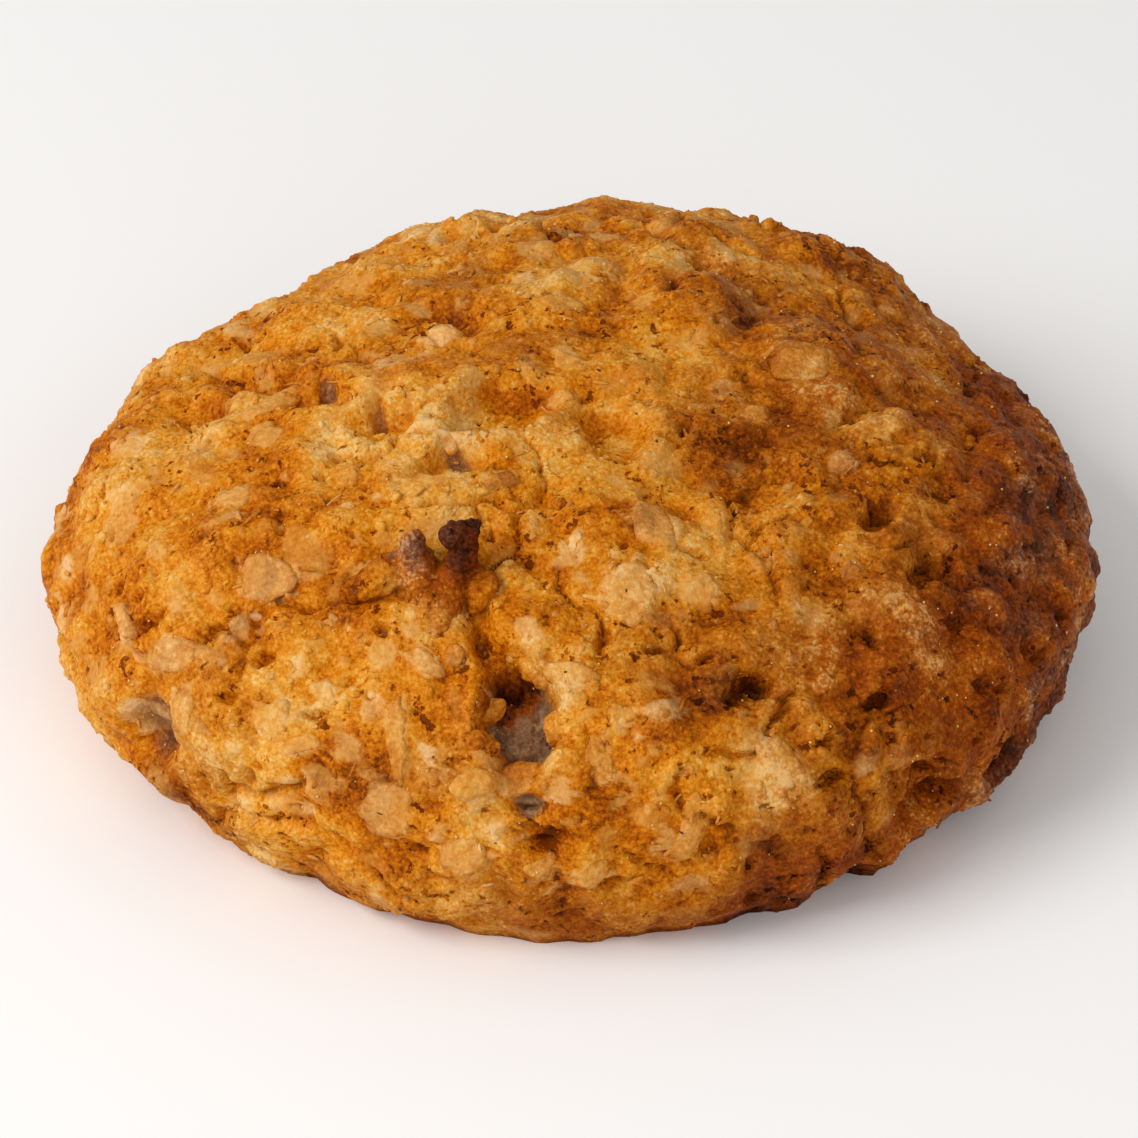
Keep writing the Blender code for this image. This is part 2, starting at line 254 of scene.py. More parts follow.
def direction_of(bearing: float, fall: float) -> Vector:
    """The unit direction of a bearing and a fall in degrees."""
    around, down = math.radians(bearing), math.radians(fall)
    return Vector((math.sin(down) * math.cos(around), math.sin(down) * math.sin(around), math.cos(down)))


def smooth_frame(bearing: float, fall: float, turn: float = 0.0) -> Matrix:
    """A frame on the smooth dome: X round the cookie, Y up the slope and Z out.

    Args:
        bearing: degrees round from +X.
        fall: degrees from the crown.
        turn: degrees that the frame is turned about its Z.

    Returns:
        The frame as a matrix that takes its own coordinates to the cookie's.
    """
    point = dome_point(direction_of(bearing, fall))
    uphill = (dome_point(direction_of(bearing, fall - 1)) - point).normalized()
    round_it = Vector((-math.sin(math.radians(bearing)), math.cos(math.radians(bearing)), 0.0))
    out = round_it.cross(uphill).normalized()
    across = uphill.cross(out)
    axes = Matrix((across, uphill, out)).transposed().to_4x4()
    return Matrix.Translation(point) @ axes @ Matrix.Rotation(math.radians(turn), 4, "Z")


DENT_FRAMES = [(dent, smooth_frame(dent.bearing, dent.fall, -dent.turn).inverted()) for dent in DENTS]


def relief(point: Vector, layers: Iterable[Relief]) -> float:
    """How far layers of relief stand out from the smooth dome.

    Args:
        point: on the smooth dome.
        layers: the scales of unevenness to add up.

    Returns:
        The height, in metres.
    """
    height = 0.0
    for layer in layers:
        wave = noise.noise(point / layer.size)
        height += layer.height * (2 * abs(wave) - FOLD_MIDDLE if layer.swell is Swell.FOLDED else wave)
    return height


def shaken(point: Vector, size: float = RAGGED_SIZE, by: float = RAGGED_BY) -> Vector:
    """A point moved a little by noise of a size, so that an edge that it is held against comes out ragged."""
    return point + noise.noise_vector(point / size) * by


def grains(point: Vector) -> float:
    """How far the crumb's rounded grains stand out.

    Args:
        point: on the smooth dome.

    Returns:
        The height, in metres.
    """
    height = 0.0
    loose = shaken(point, *GRAINS_SHAKEN)
    for layer in GRAIN_RELIEF:
        first, second = noise.voronoi(loose / layer.size)[0][:2]
        height += layer.height * (min(1.0, (second - first) / CREASE) ** GRAIN_ROUNDING - 0.5)
    return height


def dents(point: Vector) -> float:
    """How far the dents, with their ragged edges, take the surface in.

    Args:
        point: on the smooth dome.

    Returns:
        The depth, in metres.
    """
    depth = 0.0
    ragged = shaken(point)
    for dent, to_dent in DENT_FRAMES:
        reach = dent.reach(to_dent @ ragged)
        if reach < 1:
            depth += dent.depth * (1 - smooth_step(dent.floor, 1.0, reach))
    return depth


def add_attributes(data: bpy.types.Mesh, grades: dict[str, np.ndarray]) -> None:
    """Stores a number of each kind on every vertex.

    Args:
        data: the mesh.
        grades: the numbers, by the attribute's name.
    """
    for name, values in grades.items():
        attribute = data.attributes.new(name, "FLOAT", "POINT")
        attribute.data.foreach_set("value", np.ascontiguousarray(values, np.float32))


def placed(name: str, data: bpy.types.ID) -> bpy.types.Object:
    """Puts a mesh, a lamp or a camera in the scene, at the origin.

    Args:
        name: the object's name.
        data: what it holds.

    Returns:
        The object.
    """
    made = bpy.data.objects.new(name, data)
    bpy.context.scene.collection.objects.link(made)
    return made


def mesh_of(name: str, mesh: bmesh.types.BMesh) -> bpy.types.Mesh:
    """Turns a bmesh, which is used up, into a mesh.

    Args:
        name: the mesh's name.
        mesh: the bmesh.

    Returns:
        The mesh.
    """
    data = bpy.data.meshes.new(name)
    mesh.to_mesh(data)
    mesh.free()
    return data


def tree_of(*pieces: bpy.types.Object) -> BVHTree:
    """A search tree of some pieces' faces together.

    Args:
        pieces: the pieces, whose faces are numbered in this order.

    Returns:
        The tree.
    """
    mesh = bmesh.new()
    for piece in pieces:
        mesh.from_mesh(piece.data)
    tree = BVHTree.FromBMesh(mesh)
    mesh.free()
    return tree


@dataclass
class PhotoCamera:
    """The camera, where the photograph was taken from."""

    elevation: float = math.radians(38.0)
    distance: float = 450 * MM
    aim_height: float = 6.4 * MM
    pixels_per_mm: float = 13.75
    """At the aim."""
    sensor: float = 36.0
    nearest: float = 10 * MM
    edge_on: float = 0.9
    """Past this, a surface faces so far to the side that its level runs up the photograph."""

    def __post_init__(self) -> None:
        """Works out the view's three axes."""
        self.right = Vector((1.0, 0.0, 0.0))
        self.up = Vector((0.0, math.sin(self.elevation), math.cos(self.elevation)))
        self.back = Vector((0.0, -math.cos(self.elevation), math.sin(self.elevation)))
        self.eye = Vector((0.0, 0.0, self.aim_height)) + self.back * self.distance
        self.focal = self.pixels_per_mm * self.distance / MM

    def ray(self, across: float, down: float) -> Vector:
        """The direction that a pixel of the photograph looks along.

        Args:
            across: pixels from the photograph's left.
            down: pixels from its top.

        Returns:
            A unit vector, from the eye.
        """
        middle = PHOTO_SIZE / 2
        aside = self.right * ((across - middle) / self.focal) - self.up * ((down - middle) / self.focal)
        return (aside - self.back).normalized()

    def spot(self, surface: BVHTree, across: float, down: float) -> tuple[Vector | None, int | None]:
        """Where a pixel of the photograph falls on a surface.

        Args:
            surface: the surface.
            across: pixels from the photograph's left.
            down: pixels from its top.

        Returns:
            The place and the number of the face there, or None for both where the pixel misses.
        """
        hit, _, face, _ = surface.ray_cast(self.eye, self.ray(across, down))
        return hit, face

    def level_on(self, out: Vector) -> Vector:
        """The direction along a surface that the camera sees as level.

        Args:
            out: the way out of the surface.

        Returns:
            A unit vector along the surface.
        """
        level = self.right if abs(out.dot(self.right)) < self.edge_on else self.up
        return (level - out * out.dot(level)).normalized()

    def build(self) -> None:
        """Makes the camera and sets it as the scene's."""
        lens = bpy.data.cameras.new("photo_camera")
        lens.sensor_width = self.sensor
        lens.lens = self.sensor * self.focal / PHOTO_SIZE
        lens.clip_start = self.nearest
        camera = placed("photo_camera", lens)
        camera.location = self.eye
        camera.rotation_euler = self.back.to_track_quat("Z", "Y").to_euler()
        bpy.context.scene.camera = camera


@dataclass(frozen=True)
class Seen:
    """A thing that the photograph shows, by the pixel of its middle and its real size."""

    across: float
    down: float
    length: float
    width: float
    turn: float = 0.0
    """Degrees of its length from level, counterclockwise as seen."""
    height: float = 0.3 * MM
    tint: float = 0.5
    """For an oat, from 0, toasted, to 1, pale. For a pit, how moist and grey its floor is."""
    tilt: float = 0.0
    """For a chip, how much of its height it loses towards its lower edge."""


PITS_SEEN = (
    Seen(325, 390, 3.2 * MM, 2.2 * MM, 100, 1.4 * MM, 0.60),
    Seen(378, 418, 1.6 * MM, 2.6 * MM, 0, 1.3 * MM, 0.50),
    Seen(455, 462, 3.6 * MM, 1.8 * MM, -25, 1.2 * MM, 0.65),
    Seen(190, 392, 1.6 * MM, 0.9 * MM, 25, 0.8 * MM, 0.6),
    Seen(205, 531, 1.6 * MM, 1.2 * MM, 0, 1.0 * MM, 0.3),
    Seen(148, 618, 3.4 * MM, 1.4 * MM, 20, 1.4 * MM, 0.0),
    Seen(118, 583, 1.8 * MM, 1.2 * MM, -30, 0.9 * MM, 0.0),
    Seen(380, 629, 1.2 * MM, 1.2 * MM, 0, 1.0 * MM, 0.5),
    Seen(232, 604, 1.4 * MM, 0.8 * MM, 0, 0.9 * MM, 0.0),
    Seen(262, 657, 1.8 * MM, 1.2 * MM, 60, 0.9 * MM, 0.0),
    Seen(223, 694, 2.0 * MM, 1.0 * MM, 0, 1.0 * MM, 0.1),
    Seen(318, 713, 2.0 * MM, 0.9 * MM, 20, 1.0 * MM, 0.2),
    Seen(527, 812, 2.4 * MM, 1.4 * MM, 0, 1.1 * MM, 0.8),
    Seen(542, 845, 2.6 * MM, 1.3 * MM, 0, 1.4 * MM, 0.0),
    Seen(412, 846, 2.0 * MM, 1.2 * MM, 0, 1.2 * MM, 0.3),
    Seen(590, 780, 1.0 * MM, 2.0 * MM, 0, 0.8 * MM, 0.0),
    Seen(752, 688, 3.0 * MM, 1.5 * MM, -20, 1.2 * MM, 0.55),
    Seen(705, 655, 1.8 * MM, 1.2 * MM, 30, 1.0 * MM, 0.2),
    Seen(868, 640, 1.2 * MM, 2.2 * MM, 0, 1.2 * MM, 0.1),
    Seen(920, 565, 2.2 * MM, 1.8 * MM, 0, 1.3 * MM, 0.4),
    Seen(872, 506, 3.0 * MM, 1.4 * MM, -20, 1.3 * MM, 0.3),
    Seen(1012, 578, 1.6 * MM, 1.6 * MM, 20, 1.4 * MM, 0.0),
    Seen(824, 741, 1.6 * MM, 1.2 * MM, 30, 1.3 * MM, 0.0),
    Seen(882, 700, 3.4 * MM, 1.8 * MM, 30, 1.5 * MM, 0.0),
    Seen(830, 780, 3.0 * MM, 1.6 * MM, 10, 1.3 * MM, 0.0),
    Seen(975, 430, 2.4 * MM, 1.4 * MM, 20, 1.0 * MM, 0.0),
    Seen(1000, 690, 1.6 * MM, 1.0 * MM, 0, 1.0 * MM, 0.0),
    Seen(700, 265, 1.6 * MM, 2.2 * MM, 0, 1.1 * MM, 0.0),
    Seen(745, 376, 2.2 * MM, 1.3 * MM, -20, 1.1 * MM, 0.1),
    Seen(752, 335, 2.6 * MM, 1.4 * MM, 0, 1.1 * MM, 0.0),
    Seen(832, 335, 1.2 * MM, 2.6 * MM, 15, 1.2 * MM, 0.0),
    Seen(640, 402, 2.4 * MM, 1.0 * MM, -15, 1.1 * MM, 0.0),
    Seen(660, 436, 2.0 * MM, 0.9 * MM, 10, 0.9 * MM, 0.2),
    Seen(478, 424, 0.9 * MM, 0.9 * MM, 0, 0.8 * MM, 0.0),
    Seen(600, 508, 3.4 * MM, 0.8 * MM, 8, 0.9 * MM, 0.0),
    Seen(560, 508, 1.6 * MM, 0.8 * MM, 0, 0.8 * MM, 0.0),
    Seen(690, 555, 2.6 * MM, 0.8 * MM, -10, 0.9 * MM, 0.0),
    Seen(620, 545, 1.8 * MM, 0.7 * MM, 20, 0.8 * MM, 0.0),
    Seen(655, 648, 2.6 * MM, 0.8 * MM, 15, 1.0 * MM, 0.0),
    Seen(240, 375, 3.4 * MM, 1.6 * MM, 20, 1.0 * MM, 0.2),
    Seen(340, 458, 2.2 * MM, 1.0 * MM, -10, 1.0 * MM, 0.3),
    Seen(930, 455, 2.4 * MM, 1.2 * MM, 30, 1.0 * MM, 0.0),
    Seen(940, 500, 2.2 * MM, 1.2 * MM, -20, 1.1 * MM, 0.0),
    Seen(410, 900, 2.4 * MM, 1.2 * MM, 0, 1.0 * MM, 0.0),
    Seen(610, 880, 3.0 * MM, 1.3 * MM, 10, 1.2 * MM, 0.0),
    Seen(705, 850, 2.0 * MM, 3.2 * MM, 0, 1.0 * MM, 0.0),
    Seen(480, 640, 1.4 * MM, 3.4 * MM, 20, 1.0 * MM, 0.3),
)

OATS_SEEN = (
    Seen(265, 576, 4.4 * MM, 3.8 * MM, -10, 0.45 * MM, 0.80, 0.3),
    Seen(440, 336, 3.4 * MM, 1.8 * MM, 10, 0.45 * MM, 1.00, 0.2),
    Seen(655, 525, 3.4 * MM, 5.0 * MM, 10, 0.55 * MM, 0.85, 0.3),
    Seen(233, 496, 3.0 * MM, 3.0 * MM, 20, 0.35 * MM, 0.70, 0.2),
    Seen(630, 590, 4.4 * MM, 5.0 * MM, 0, 0.40 * MM, 0.85, 0.2),
    Seen(870, 607, 2.8 * MM, 2.8 * MM, 0, 0.50 * MM, 0.75, 0.1),
    Seen(476, 790, 2.4 * MM, 3.6 * MM, -15, 0.60 * MM, 0.85, 0.5),
    Seen(385, 812, 4.0 * MM, 4.6 * MM, 0, 0.35 * MM, 0.75, 0.2),
    Seen(590, 877, 3.0 * MM, 2.4 * MM, 15, 0.45 * MM, 0.85, 0.3),
    Seen(396, 738, 1.6 * MM, 6.4 * MM, 0, 0.55 * MM, 0.70, 0.2),
    Seen(462, 858, 4.4 * MM, 2.4 * MM, 5, 0.50 * MM, 0.75, 0.3),
    Seen(180, 712, 3.0 * MM, 3.2 * MM, -20, 0.50 * MM, 0.75, 0.2),
    Seen(271, 718, 3.2 * MM, 2.8 * MM, 0, 0.45 * MM, 0.60, 0.3),
    Seen(714, 527, 1.7 * MM, 3.4 * MM, 15, 0.40 * MM, 0.45, 0.1),
    Seen(840, 462, 2.2 * MM, 2.4 * MM, 0, 0.40 * MM, 0.80, 0.2),
    Seen(956, 468, 1.8 * MM, 3.6 * MM, 10, 0.40 * MM, 0.55, 0.1),
    Seen(985, 605, 5.0 * MM, 2.8 * MM, -8, 0.45 * MM, 0.25, 0.4),
    Seen(780, 760, 3.0 * MM, 4.4 * MM, 35, 0.40 * MM, 0.70, 0.3),
    Seen(800, 356, 5.2 * MM, 4.2 * MM, 12, 0.55 * MM, 0.50, 0.3),
    Seen(268, 437, 3.0 * MM, 2.4 * MM, 35, 0.50 * MM, 0.60, 0.2),
    Seen(270, 405, 5.4 * MM, 1.8 * MM, 30, 0.60 * MM, 0.65, 0.3),
    Seen(566, 360, 2.0 * MM, 2.6 * MM, 40, 0.45 * MM, 0.80, 0.2),
    Seen(448, 436, 1.8 * MM, 1.8 * MM, 0, 0.40 * MM, 0.95, 0.2),
    Seen(574, 541, 1.0 * MM, 1.6 * MM, 0, 0.35 * MM, 1.00, 0.1),
    Seen(690, 830, 1.8 * MM, 5.4 * MM, -20, 0.40 * MM, 0.55, 0.2),
    Seen(345, 475, 1.8 * MM, 2.8 * MM, 20, 0.35 * MM, 0.65, 0.2),
    Seen(500, 480, 3.2 * MM, 1.8 * MM, 25, 0.35 * MM, 0.60, 0.2),
    Seen(560, 398, 2.4 * MM, 1.4 * MM, -20, 0.35 * MM, 0.75, 0.2),
    Seen(755, 413, 2.4 * MM, 1.8 * MM, 0, 0.40 * MM, 0.65, 0.2),
    Seen(657, 413, 2.0 * MM, 1.4 * MM, 10, 0.40 * MM, 0.75, 0.2),
    Seen(423, 660, 3.6 * MM, 1.8 * MM, -35, 0.50 * MM, 0.85, 0.3),
    Seen(455, 655, 1.8 * MM, 1.8 * MM, 0, 0.45 * MM, 0.85, 0.2),
    Seen(323, 692, 2.4 * MM, 1.8 * MM, -45, 0.40 * MM, 0.85, 0.2),
    Seen(300, 745, 3.0 * MM, 1.3 * MM, 10, 0.40 * MM, 0.80, 0.3),
    Seen(123, 620, 1.6 * MM, 3.4 * MM, 15, 0.40 * MM, 0.85, 0.2),
    Seen(170, 655, 5.0 * MM, 2.8 * MM, -10, 0.35 * MM, 0.75, 0.2),
    Seen(822, 685, 1.2 * MM, 1.8 * MM, -30, 0.40 * MM, 0.85, 0.2),
    Seen(850, 570, 1.4 * MM, 1.8 * MM, 0, 0.40 * MM, 0.80, 0.2),
    Seen(712, 685, 2.6 * MM, 3.6 * MM, -30, 0.40 * MM, 0.50, 0.2),
    Seen(570, 672, 4.4 * MM, 1.8 * MM, -20, 0.40 * MM, 0.75, 0.3),
    Seen(990, 640, 4.0 * MM, 1.0 * MM, -12, 0.45 * MM, 0.70, 0.1),
    Seen(925, 612, 3.4 * MM, 1.4 * MM, 20, 0.40 * MM, 0.60, 0.1),
    Seen(945, 660, 2.6 * MM, 1.8 * MM, 0, 0.35 * MM, 0.50, 0.1),
    Seen(690, 915, 4.2 * MM, 1.4 * MM, 0, 0.45 * MM, 0.60, 0.1),
    Seen(560, 303, 3.6 * MM, 2.2 * MM, 0, 0.35 * MM, 0.60, 0.2),
    Seen(700, 590, 3.6 * MM, 2.8 * MM, 0, 0.35 * MM, 0.60, 0.2),
    Seen(760, 560, 2.2 * MM, 2.6 * MM, 0, 0.35 * MM, 0.55, 0.2),
    Seen(620, 715, 2.4 * MM, 2.0 * MM, 0, 0.35 * MM, 0.70, 0.2),
    Seen(600, 760, 2.0 * MM, 4.4 * MM, 5, 0.35 * MM, 0.70, 0.2),
    Seen(1085, 560, 1.6 * MM, 2.4 * MM, 0, 0.35 * MM, 0.40, 0.2),
    Seen(540, 870, 2.6 * MM, 1.8 * MM, 30, 0.40 * MM, 0.65, 0.2),
    Seen(519, 782, 3.2 * MM, 2.0 * MM, 5, 0.50 * MM, 0.65, 0.1),
)


@dataclass(frozen=True)
class Spread:
    """A seeded rule that spreads small forms of one kind over the cookie."""

    count: int
    lengths: tuple[float, float]
    widths: tuple[float, float]
    """Each width is a share of the form's length."""
    heights: tuple[float, float]
    seed: int
    lowest: float = 118.0
    """The fall, in degrees, that the spread goes down to."""
    highest: float = 0.5
    """The least fall, in degrees."""
    tilts: tuple[float, float] = (0.0, 0.8)
    smallness: float = 1.0
    """Above 1, more of the forms are near the smaller size."""
    crown_share: float = 0.2
    """Near the crown, bearings scatter as if the circle round it had at least this share of its full size."""

    def forms(self) -> list[tuple[Vector, "Seen"]]:
        """The forms at even gaps on a spiral from the crown down, each a little off it.

        Returns:
            For each form, its direction from the middle and its sizes.
        """
        draw = random.Random(self.seed)
        golden = math.degrees(TURN * (2 - (1 + math.sqrt(5)) / 2))
        lowest = math.cos(math.radians(self.lowest))
        gap = math.degrees(math.sqrt(2 * TURN / self.count)) / 2
        found = []
        for count in range(self.count):
            fall = math.degrees(math.acos(1 - (1 - lowest) * (count + 0.5) / self.count))
            circle = max(self.crown_share, math.sin(math.radians(fall)))
            bearing = golden * count + draw.uniform(-gap, gap) / circle
            way = direction_of(bearing, max(self.highest, fall + draw.uniform(-gap, gap)))
            low, high = self.lengths
            length = low + (high - low) * draw.random() ** self.smallness
            form = Seen(
                across=0, down=0, length=length, width=length * draw.uniform(*self.widths),
                turn=draw.uniform(0, 180), height=draw.uniform(*self.heights), tint=draw.random(),
                tilt=draw.uniform(*self.tilts),
            )
            found.append((way, form))
        return found


CHIPS_SPREAD = Spread(900, (1.0 * MM, 4.0 * MM), (0.35, 0.95), (0.02 * MM, 0.16 * MM), seed=5, smallness=1.8)
PITS_SPREAD = Spread(420, (0.6 * MM, 2.4 * MM), (0.3, 0.9), (0.35 * MM, 0.9 * MM), seed=8, smallness=2.4)
FORM_EDGE = ((1.3, 0.5), (3.1, 0.3))
"""Of the noise along a form's uneven edge: how many waves there are to half its size, and how strong."""


@dataclass
class Form:
    """A chip or pit pressed into the dough: its sizes and the frame that takes a point to it."""

    seen: Seen
    place: Vector
    to_form: Matrix
    seed: float

    def reach(self, point: Vector) -> tuple[float, float]:
        """How far out towards the form's uneven edge a point lies.

        Args:
            point: on the smooth dome.

        Returns:
            0 at the middle and 1 at the edge, and how far up the form the point is, from -1 to 1.
        """
        local = self.to_form @ point
        along, aside = 2 * local.x / self.seen.length, 2 * local.y / self.seen.width
        ragged = sum(strength * noise.noise(Vector((along * waves, aside * waves, self.seed)))
                     for waves, strength in FORM_EDGE)
        return math.hypot(along, aside) * (1 + ragged), aside


class Forms:
    """The chips, or the pits, and what they do to the dough."""

    def __init__(self, forms: list[Form], rim: float = 0.0, leans: float = 0.0) -> None:
        """Sorts the forms by place.

        Args:
            forms: the chips or the pits.
            rim: the share of the way out at which a form starts to fall off.
            leans: how much of a form's tilt counts.
        """
        self.forms = forms
        self.rim = rim
        self.leans = leans
        self.tree = KDTree(len(forms))
        for count, form in enumerate(forms):
            self.tree.insert(form.place, count)
        self.tree.balance()

    def crowd(self, point: Vector, length: float, gap_share: float) -> bool:
        """Whether a new form would lie too near the nearest one.

        Args:
            point: where the new form would be, on the smooth dome.
            length: of the new form.
            gap_share: the gap that it needs, against half of both lengths.

        Returns:
            True where it would.
        """
        _, nearest, gap = self.tree.find(point)
        return nearest is not None and gap < 0.5 * (self.forms[nearest].seen.length + length) * gap_share

    def strongest(self, point: Vector, within: float) -> tuple[float, float, Form | None]:
        """The form that moves the dough most at a point.

        Args:
            point: on the smooth dome.
            within: how far off a form's middle may be.

        Returns:
            How far it moves the dough there, its share of the point from 0 to 1, and the form.
        """
        height, share, strongest = 0.0, 0.0, None
        for _, found, _ in self.tree.find_range(point, within):
            form = self.forms[found]
            reach, up = form.reach(point)
            if reach < 1:
                part = 1 - smooth_step(self.rim, 1.0, reach)
                rise = form.seen.height * part * (1 + self.leans * form.seen.tilt * up)
                if rise > height:
                    height, share, strongest = rise, part, form
        return height, share, strongest


@dataclass
class Dough:
    """The baked dough: one closed surface with its crags, hollows, pits and half-sunk oats."""

    view: PhotoCamera
    """The camera that the seen things are placed by."""
    cells: int = 126
    base_share: float = math.radians(21)
    """The angle at the bottom of the ball that the flat base is drawn from."""
    base_still: float = 0.5
    """The share of the base, from its middle, that its uneven edge leaves alone."""
    largest_form: float = 3.4 * MM
    chip_rim: float = 0.72
    pit_rim: float = 0.35
    gap_share: float = 0.8
    """How near a spread form may lie to a seen one, against half of both lengths."""
    seen_seed_step: float = 1.7
    spread_seeds: tuple[float, float] = (200.0, 1.3)
    """The first and the step from one to the next, so that no two forms have the same edge."""
    crownward: float = 0.01
    """A short step of a direction, that tells which way is up the slope."""
    crack_size: float = 7.0 * MM
    crack_patch: float = 8.0 * MM
    crack_depth: float = 1.1 * MM
    crack_width: float = 0.06
    crack_band: tuple[float, float] = (0.05, 0.3)
    """Of the noise that says where the crust cracked: from none to full depth."""
    crack_shaken: tuple[float, float] = (1.6 * MM, 0.7 * MM)
    swell: float = 0.5
    """How much of a chip's height the dough over and under it has."""
    oat_evens: float = 0.65
    """How much of the crumb's fine relief an oat covers."""
    foot: float = 3.0 * MM
    """Up to this height the fine relief fades towards the base."""
    near: int = 5
    """Rounds of averaging that make the near surroundings, about a millimetre across."""
    far: int = 60
    near_depth: float = 0.5 * MM
    near_most: float = 0.75
    far_depth: float = 2.4 * MM
    smooth: list[Vector] = field(default_factory=list)
    normals: list[Vector] = field(default_factory=list)
    grades: dict[str, np.ndarray] = field(default_factory=dict)

    def _ball(self) -> bmesh.types.BMesh:
        """Makes a ball of even cells from a cube, opened out so that few of them fall on the base.

        Returns:
            The smooth dome.
        """
        mesh = bmesh.new()
        bmesh.ops.create_cube(mesh, size=2)
        bmesh.ops.subdivide_edges(mesh, edges=mesh.edges[:], cuts=self.cells - 1, use_grid_fill=True)
        crown = math.pi - self.base_share
        for vert in mesh.verts:
            way = Vector(math.tan(side * math.pi / 4) for side in vert.co).normalized()
            turned = math.acos(max(-1.0, min(1.0, way.z)))
            if turned < crown:
                fall = turned * FOOT_FALL / crown
            else:
                fall = math.pi - (math.pi - turned) * (math.pi - FOOT_FALL) / self.base_share
            around = math.atan2(way.y, way.x)
            vert.co = dome_point(direction_of(math.degrees(around), math.degrees(fall)))
        return mesh

    def _moved(self, point: Vector, normal: Vector, height: float) -> Vector:
        """Where a point of the smooth dome ends up. The base stays flat, and its edge moves level.

        Args:
            point: on the smooth dome.
            normal: of the smooth dome there.
            height: how far the surface stands out.

        Returns:
            The moved point.
        """
        if point.z < FOOT_EDGE:
            flat = Vector((point.x, point.y, 0))
            edge = flat.length / (FOOT_SHARE * rim_radius(math.atan2(point.y, point.x)))
            return flat + flat.normalized() * height * smooth_step(self.base_still, 1.0, edge)
        level = normal.z * smooth_step(0, WAIST_HEIGHT, point.z)
        moved = point + Vector((normal.x, normal.y, level)).normalized() * height
        moved.z = max(moved.z, LEAST_CLEARANCE * point.z)
        return moved

    def _move(self, mesh: bmesh.types.BMesh, heights: Sequence[float]) -> None:
        """Moves every vertex to its height above the smooth dome."""
        for vert, point, normal, height in zip(mesh.verts, self.smooth, self.normals, heights):
            vert.co = self._moved(point, normal, height)

    def _form_at(self, point: Vector, normal: Vector, seen: Seen, seed: float) -> Form:
        """Lays a form on the smooth dome, its length level as seen by the camera before its turn.

        Args:
            point: its middle.
            normal: of the smooth dome there.
            seen: its sizes.
            seed: of its uneven edge.

        Returns:
            The form.
        """
        aside = self.view.level_on(normal)
        axes = Matrix((aside, normal.cross(aside), normal)).transposed().to_4x4()
        place = Matrix.Translation(point) @ axes @ Matrix.Rotation(math.radians(seen.turn), 4, "Z")
        return Form(seen, point, place.inverted(), seed)

    def _seen_forms(self, things: Sequence[Seen], surface: BVHTree, faces: list[int]) -> list[Form]:
        """Lays the things that the photograph shows where the camera sees them.

        Args:
            things: what is seen.
            surface: the dough before its forms.
            faces: a vertex of each face of that surface.

        Returns:
            The forms, on the smooth dome.
        """
        found = []
        for count, thing in enumerate(things):
            hit, face = self.view.spot(surface, thing.across, thing.down)
            if hit is None:
                LOG.warning("nothing is seen at %s, %s", thing.across, thing.down)
                continue
            vert = faces[face]
            seed = count * self.seen_seed_step
            found.append(self._form_at(self.smooth[vert], self.normals[vert], thing, seed))
        return found

    def _spread_forms(self, spread: Spread, taken: Forms) -> list[Form]:
        """Lays a spread's forms, leaving out any that crowds a seen one.

        Args:
            spread: the rule that spreads them.
            taken: the forms already there.

        Returns:
            The forms, on the smooth dome.
        """
        found = []
        for count, (way, seen) in enumerate(spread.forms()):
            point = dome_point(way)
            if taken.crowd(point, seen.length, self.gap_share):
                continue
            beside = dome_point((way + Vector((0, 0, self.crownward))).normalized()) - point
            level = Vector((-point.y, point.x, 0)).normalized()
            seed = self.spread_seeds[0] + count * self.spread_seeds[1]
            found.append(self._form_at(point, level.cross(beside).normalized(), seen, seed))
        return found

    def _crack(self, point: Vector) -> float:
        """How deep the thin cracks are: short, ragged lines in the creases.

        Args:
            point: on the smooth dome.

        Returns:
            The depth, in metres.
        """
        line = abs(noise.noise(shaken(point, *self.crack_shaken) / self.crack_size + CRACK_LINES_AT))
        where = smooth_step(*self.crack_band, noise.noise(point / self.crack_patch + CRACK_PATCHES_AT))
        return self.crack_depth * where * max(0.0, 1 - line / self.crack_width)

    def _pits_and_chips(self, mesh: bmesh.types.BMesh) -> tuple[Forms, Forms]:
        """Lays what the photograph shows, and more of the same all over.

        Args:
            mesh: the dough before its forms.

        Returns:
            The pits and the chips.
        """
        surface = BVHTree.FromBMesh(mesh)
        faces = [face.verts[0].index for face in mesh.faces]
        pits = self._seen_forms(PITS_SEEN, surface, faces)
        chips = self._seen_forms(OATS_SEEN, surface, faces)
        seen = Forms(pits + chips)
        return (Forms(pits + self._spread_forms(PITS_SPREAD, seen), self.pit_rim),
                Forms(chips + self._spread_forms(CHIPS_SPREAD, seen), self.chip_rim, leans=1.0))

    def build(self) -> bpy.types.Object:
        """Makes the dough's mesh and the attributes that its finish reads.

        Returns:
            The dough, not yet dressed.
        """
        mesh = self._ball()
        mesh.normal_update()
        mesh.verts.ensure_lookup_table()
        self.smooth = [vert.co.copy() for vert in mesh.verts]
        self.normals = [vert.normal.copy() for vert in mesh.verts]
        heights = [relief(point, BROAD_RELIEF) - dents(point) for point in self.smooth]
        self._move(mesh, heights)
        pits, chips = self._pits_and_chips(mesh)
        oat, tint, moist = np.zeros((3, len(heights)))
        for index, point in enumerate(self.smooth):
            rise, share, chip = chips.strongest(point, self.largest_form)
            if chip:
                oat[index], tint[index] = share, chip.seen.tint
            depth, share, pit = pits.strongest(point, self.largest_form)
            if pit and pit.seen.across:
                moist[index] = pit.seen.tint * share
            fine = (relief(point, FINE_RELIEF) + grains(point)) * (1 - self.oat_evens * oat[index])
            above = smooth_step(0.0, self.foot, point.z)
            heights[index] += above * (fine + self.swell * rise - depth - self._crack(point))
        self._move(mesh, heights)
        data = mesh_of("dough", mesh)
        self._add_attributes(data, np.array(heights), oat, tint, moist)
        data.shade_smooth()
        return placed("dough", data)

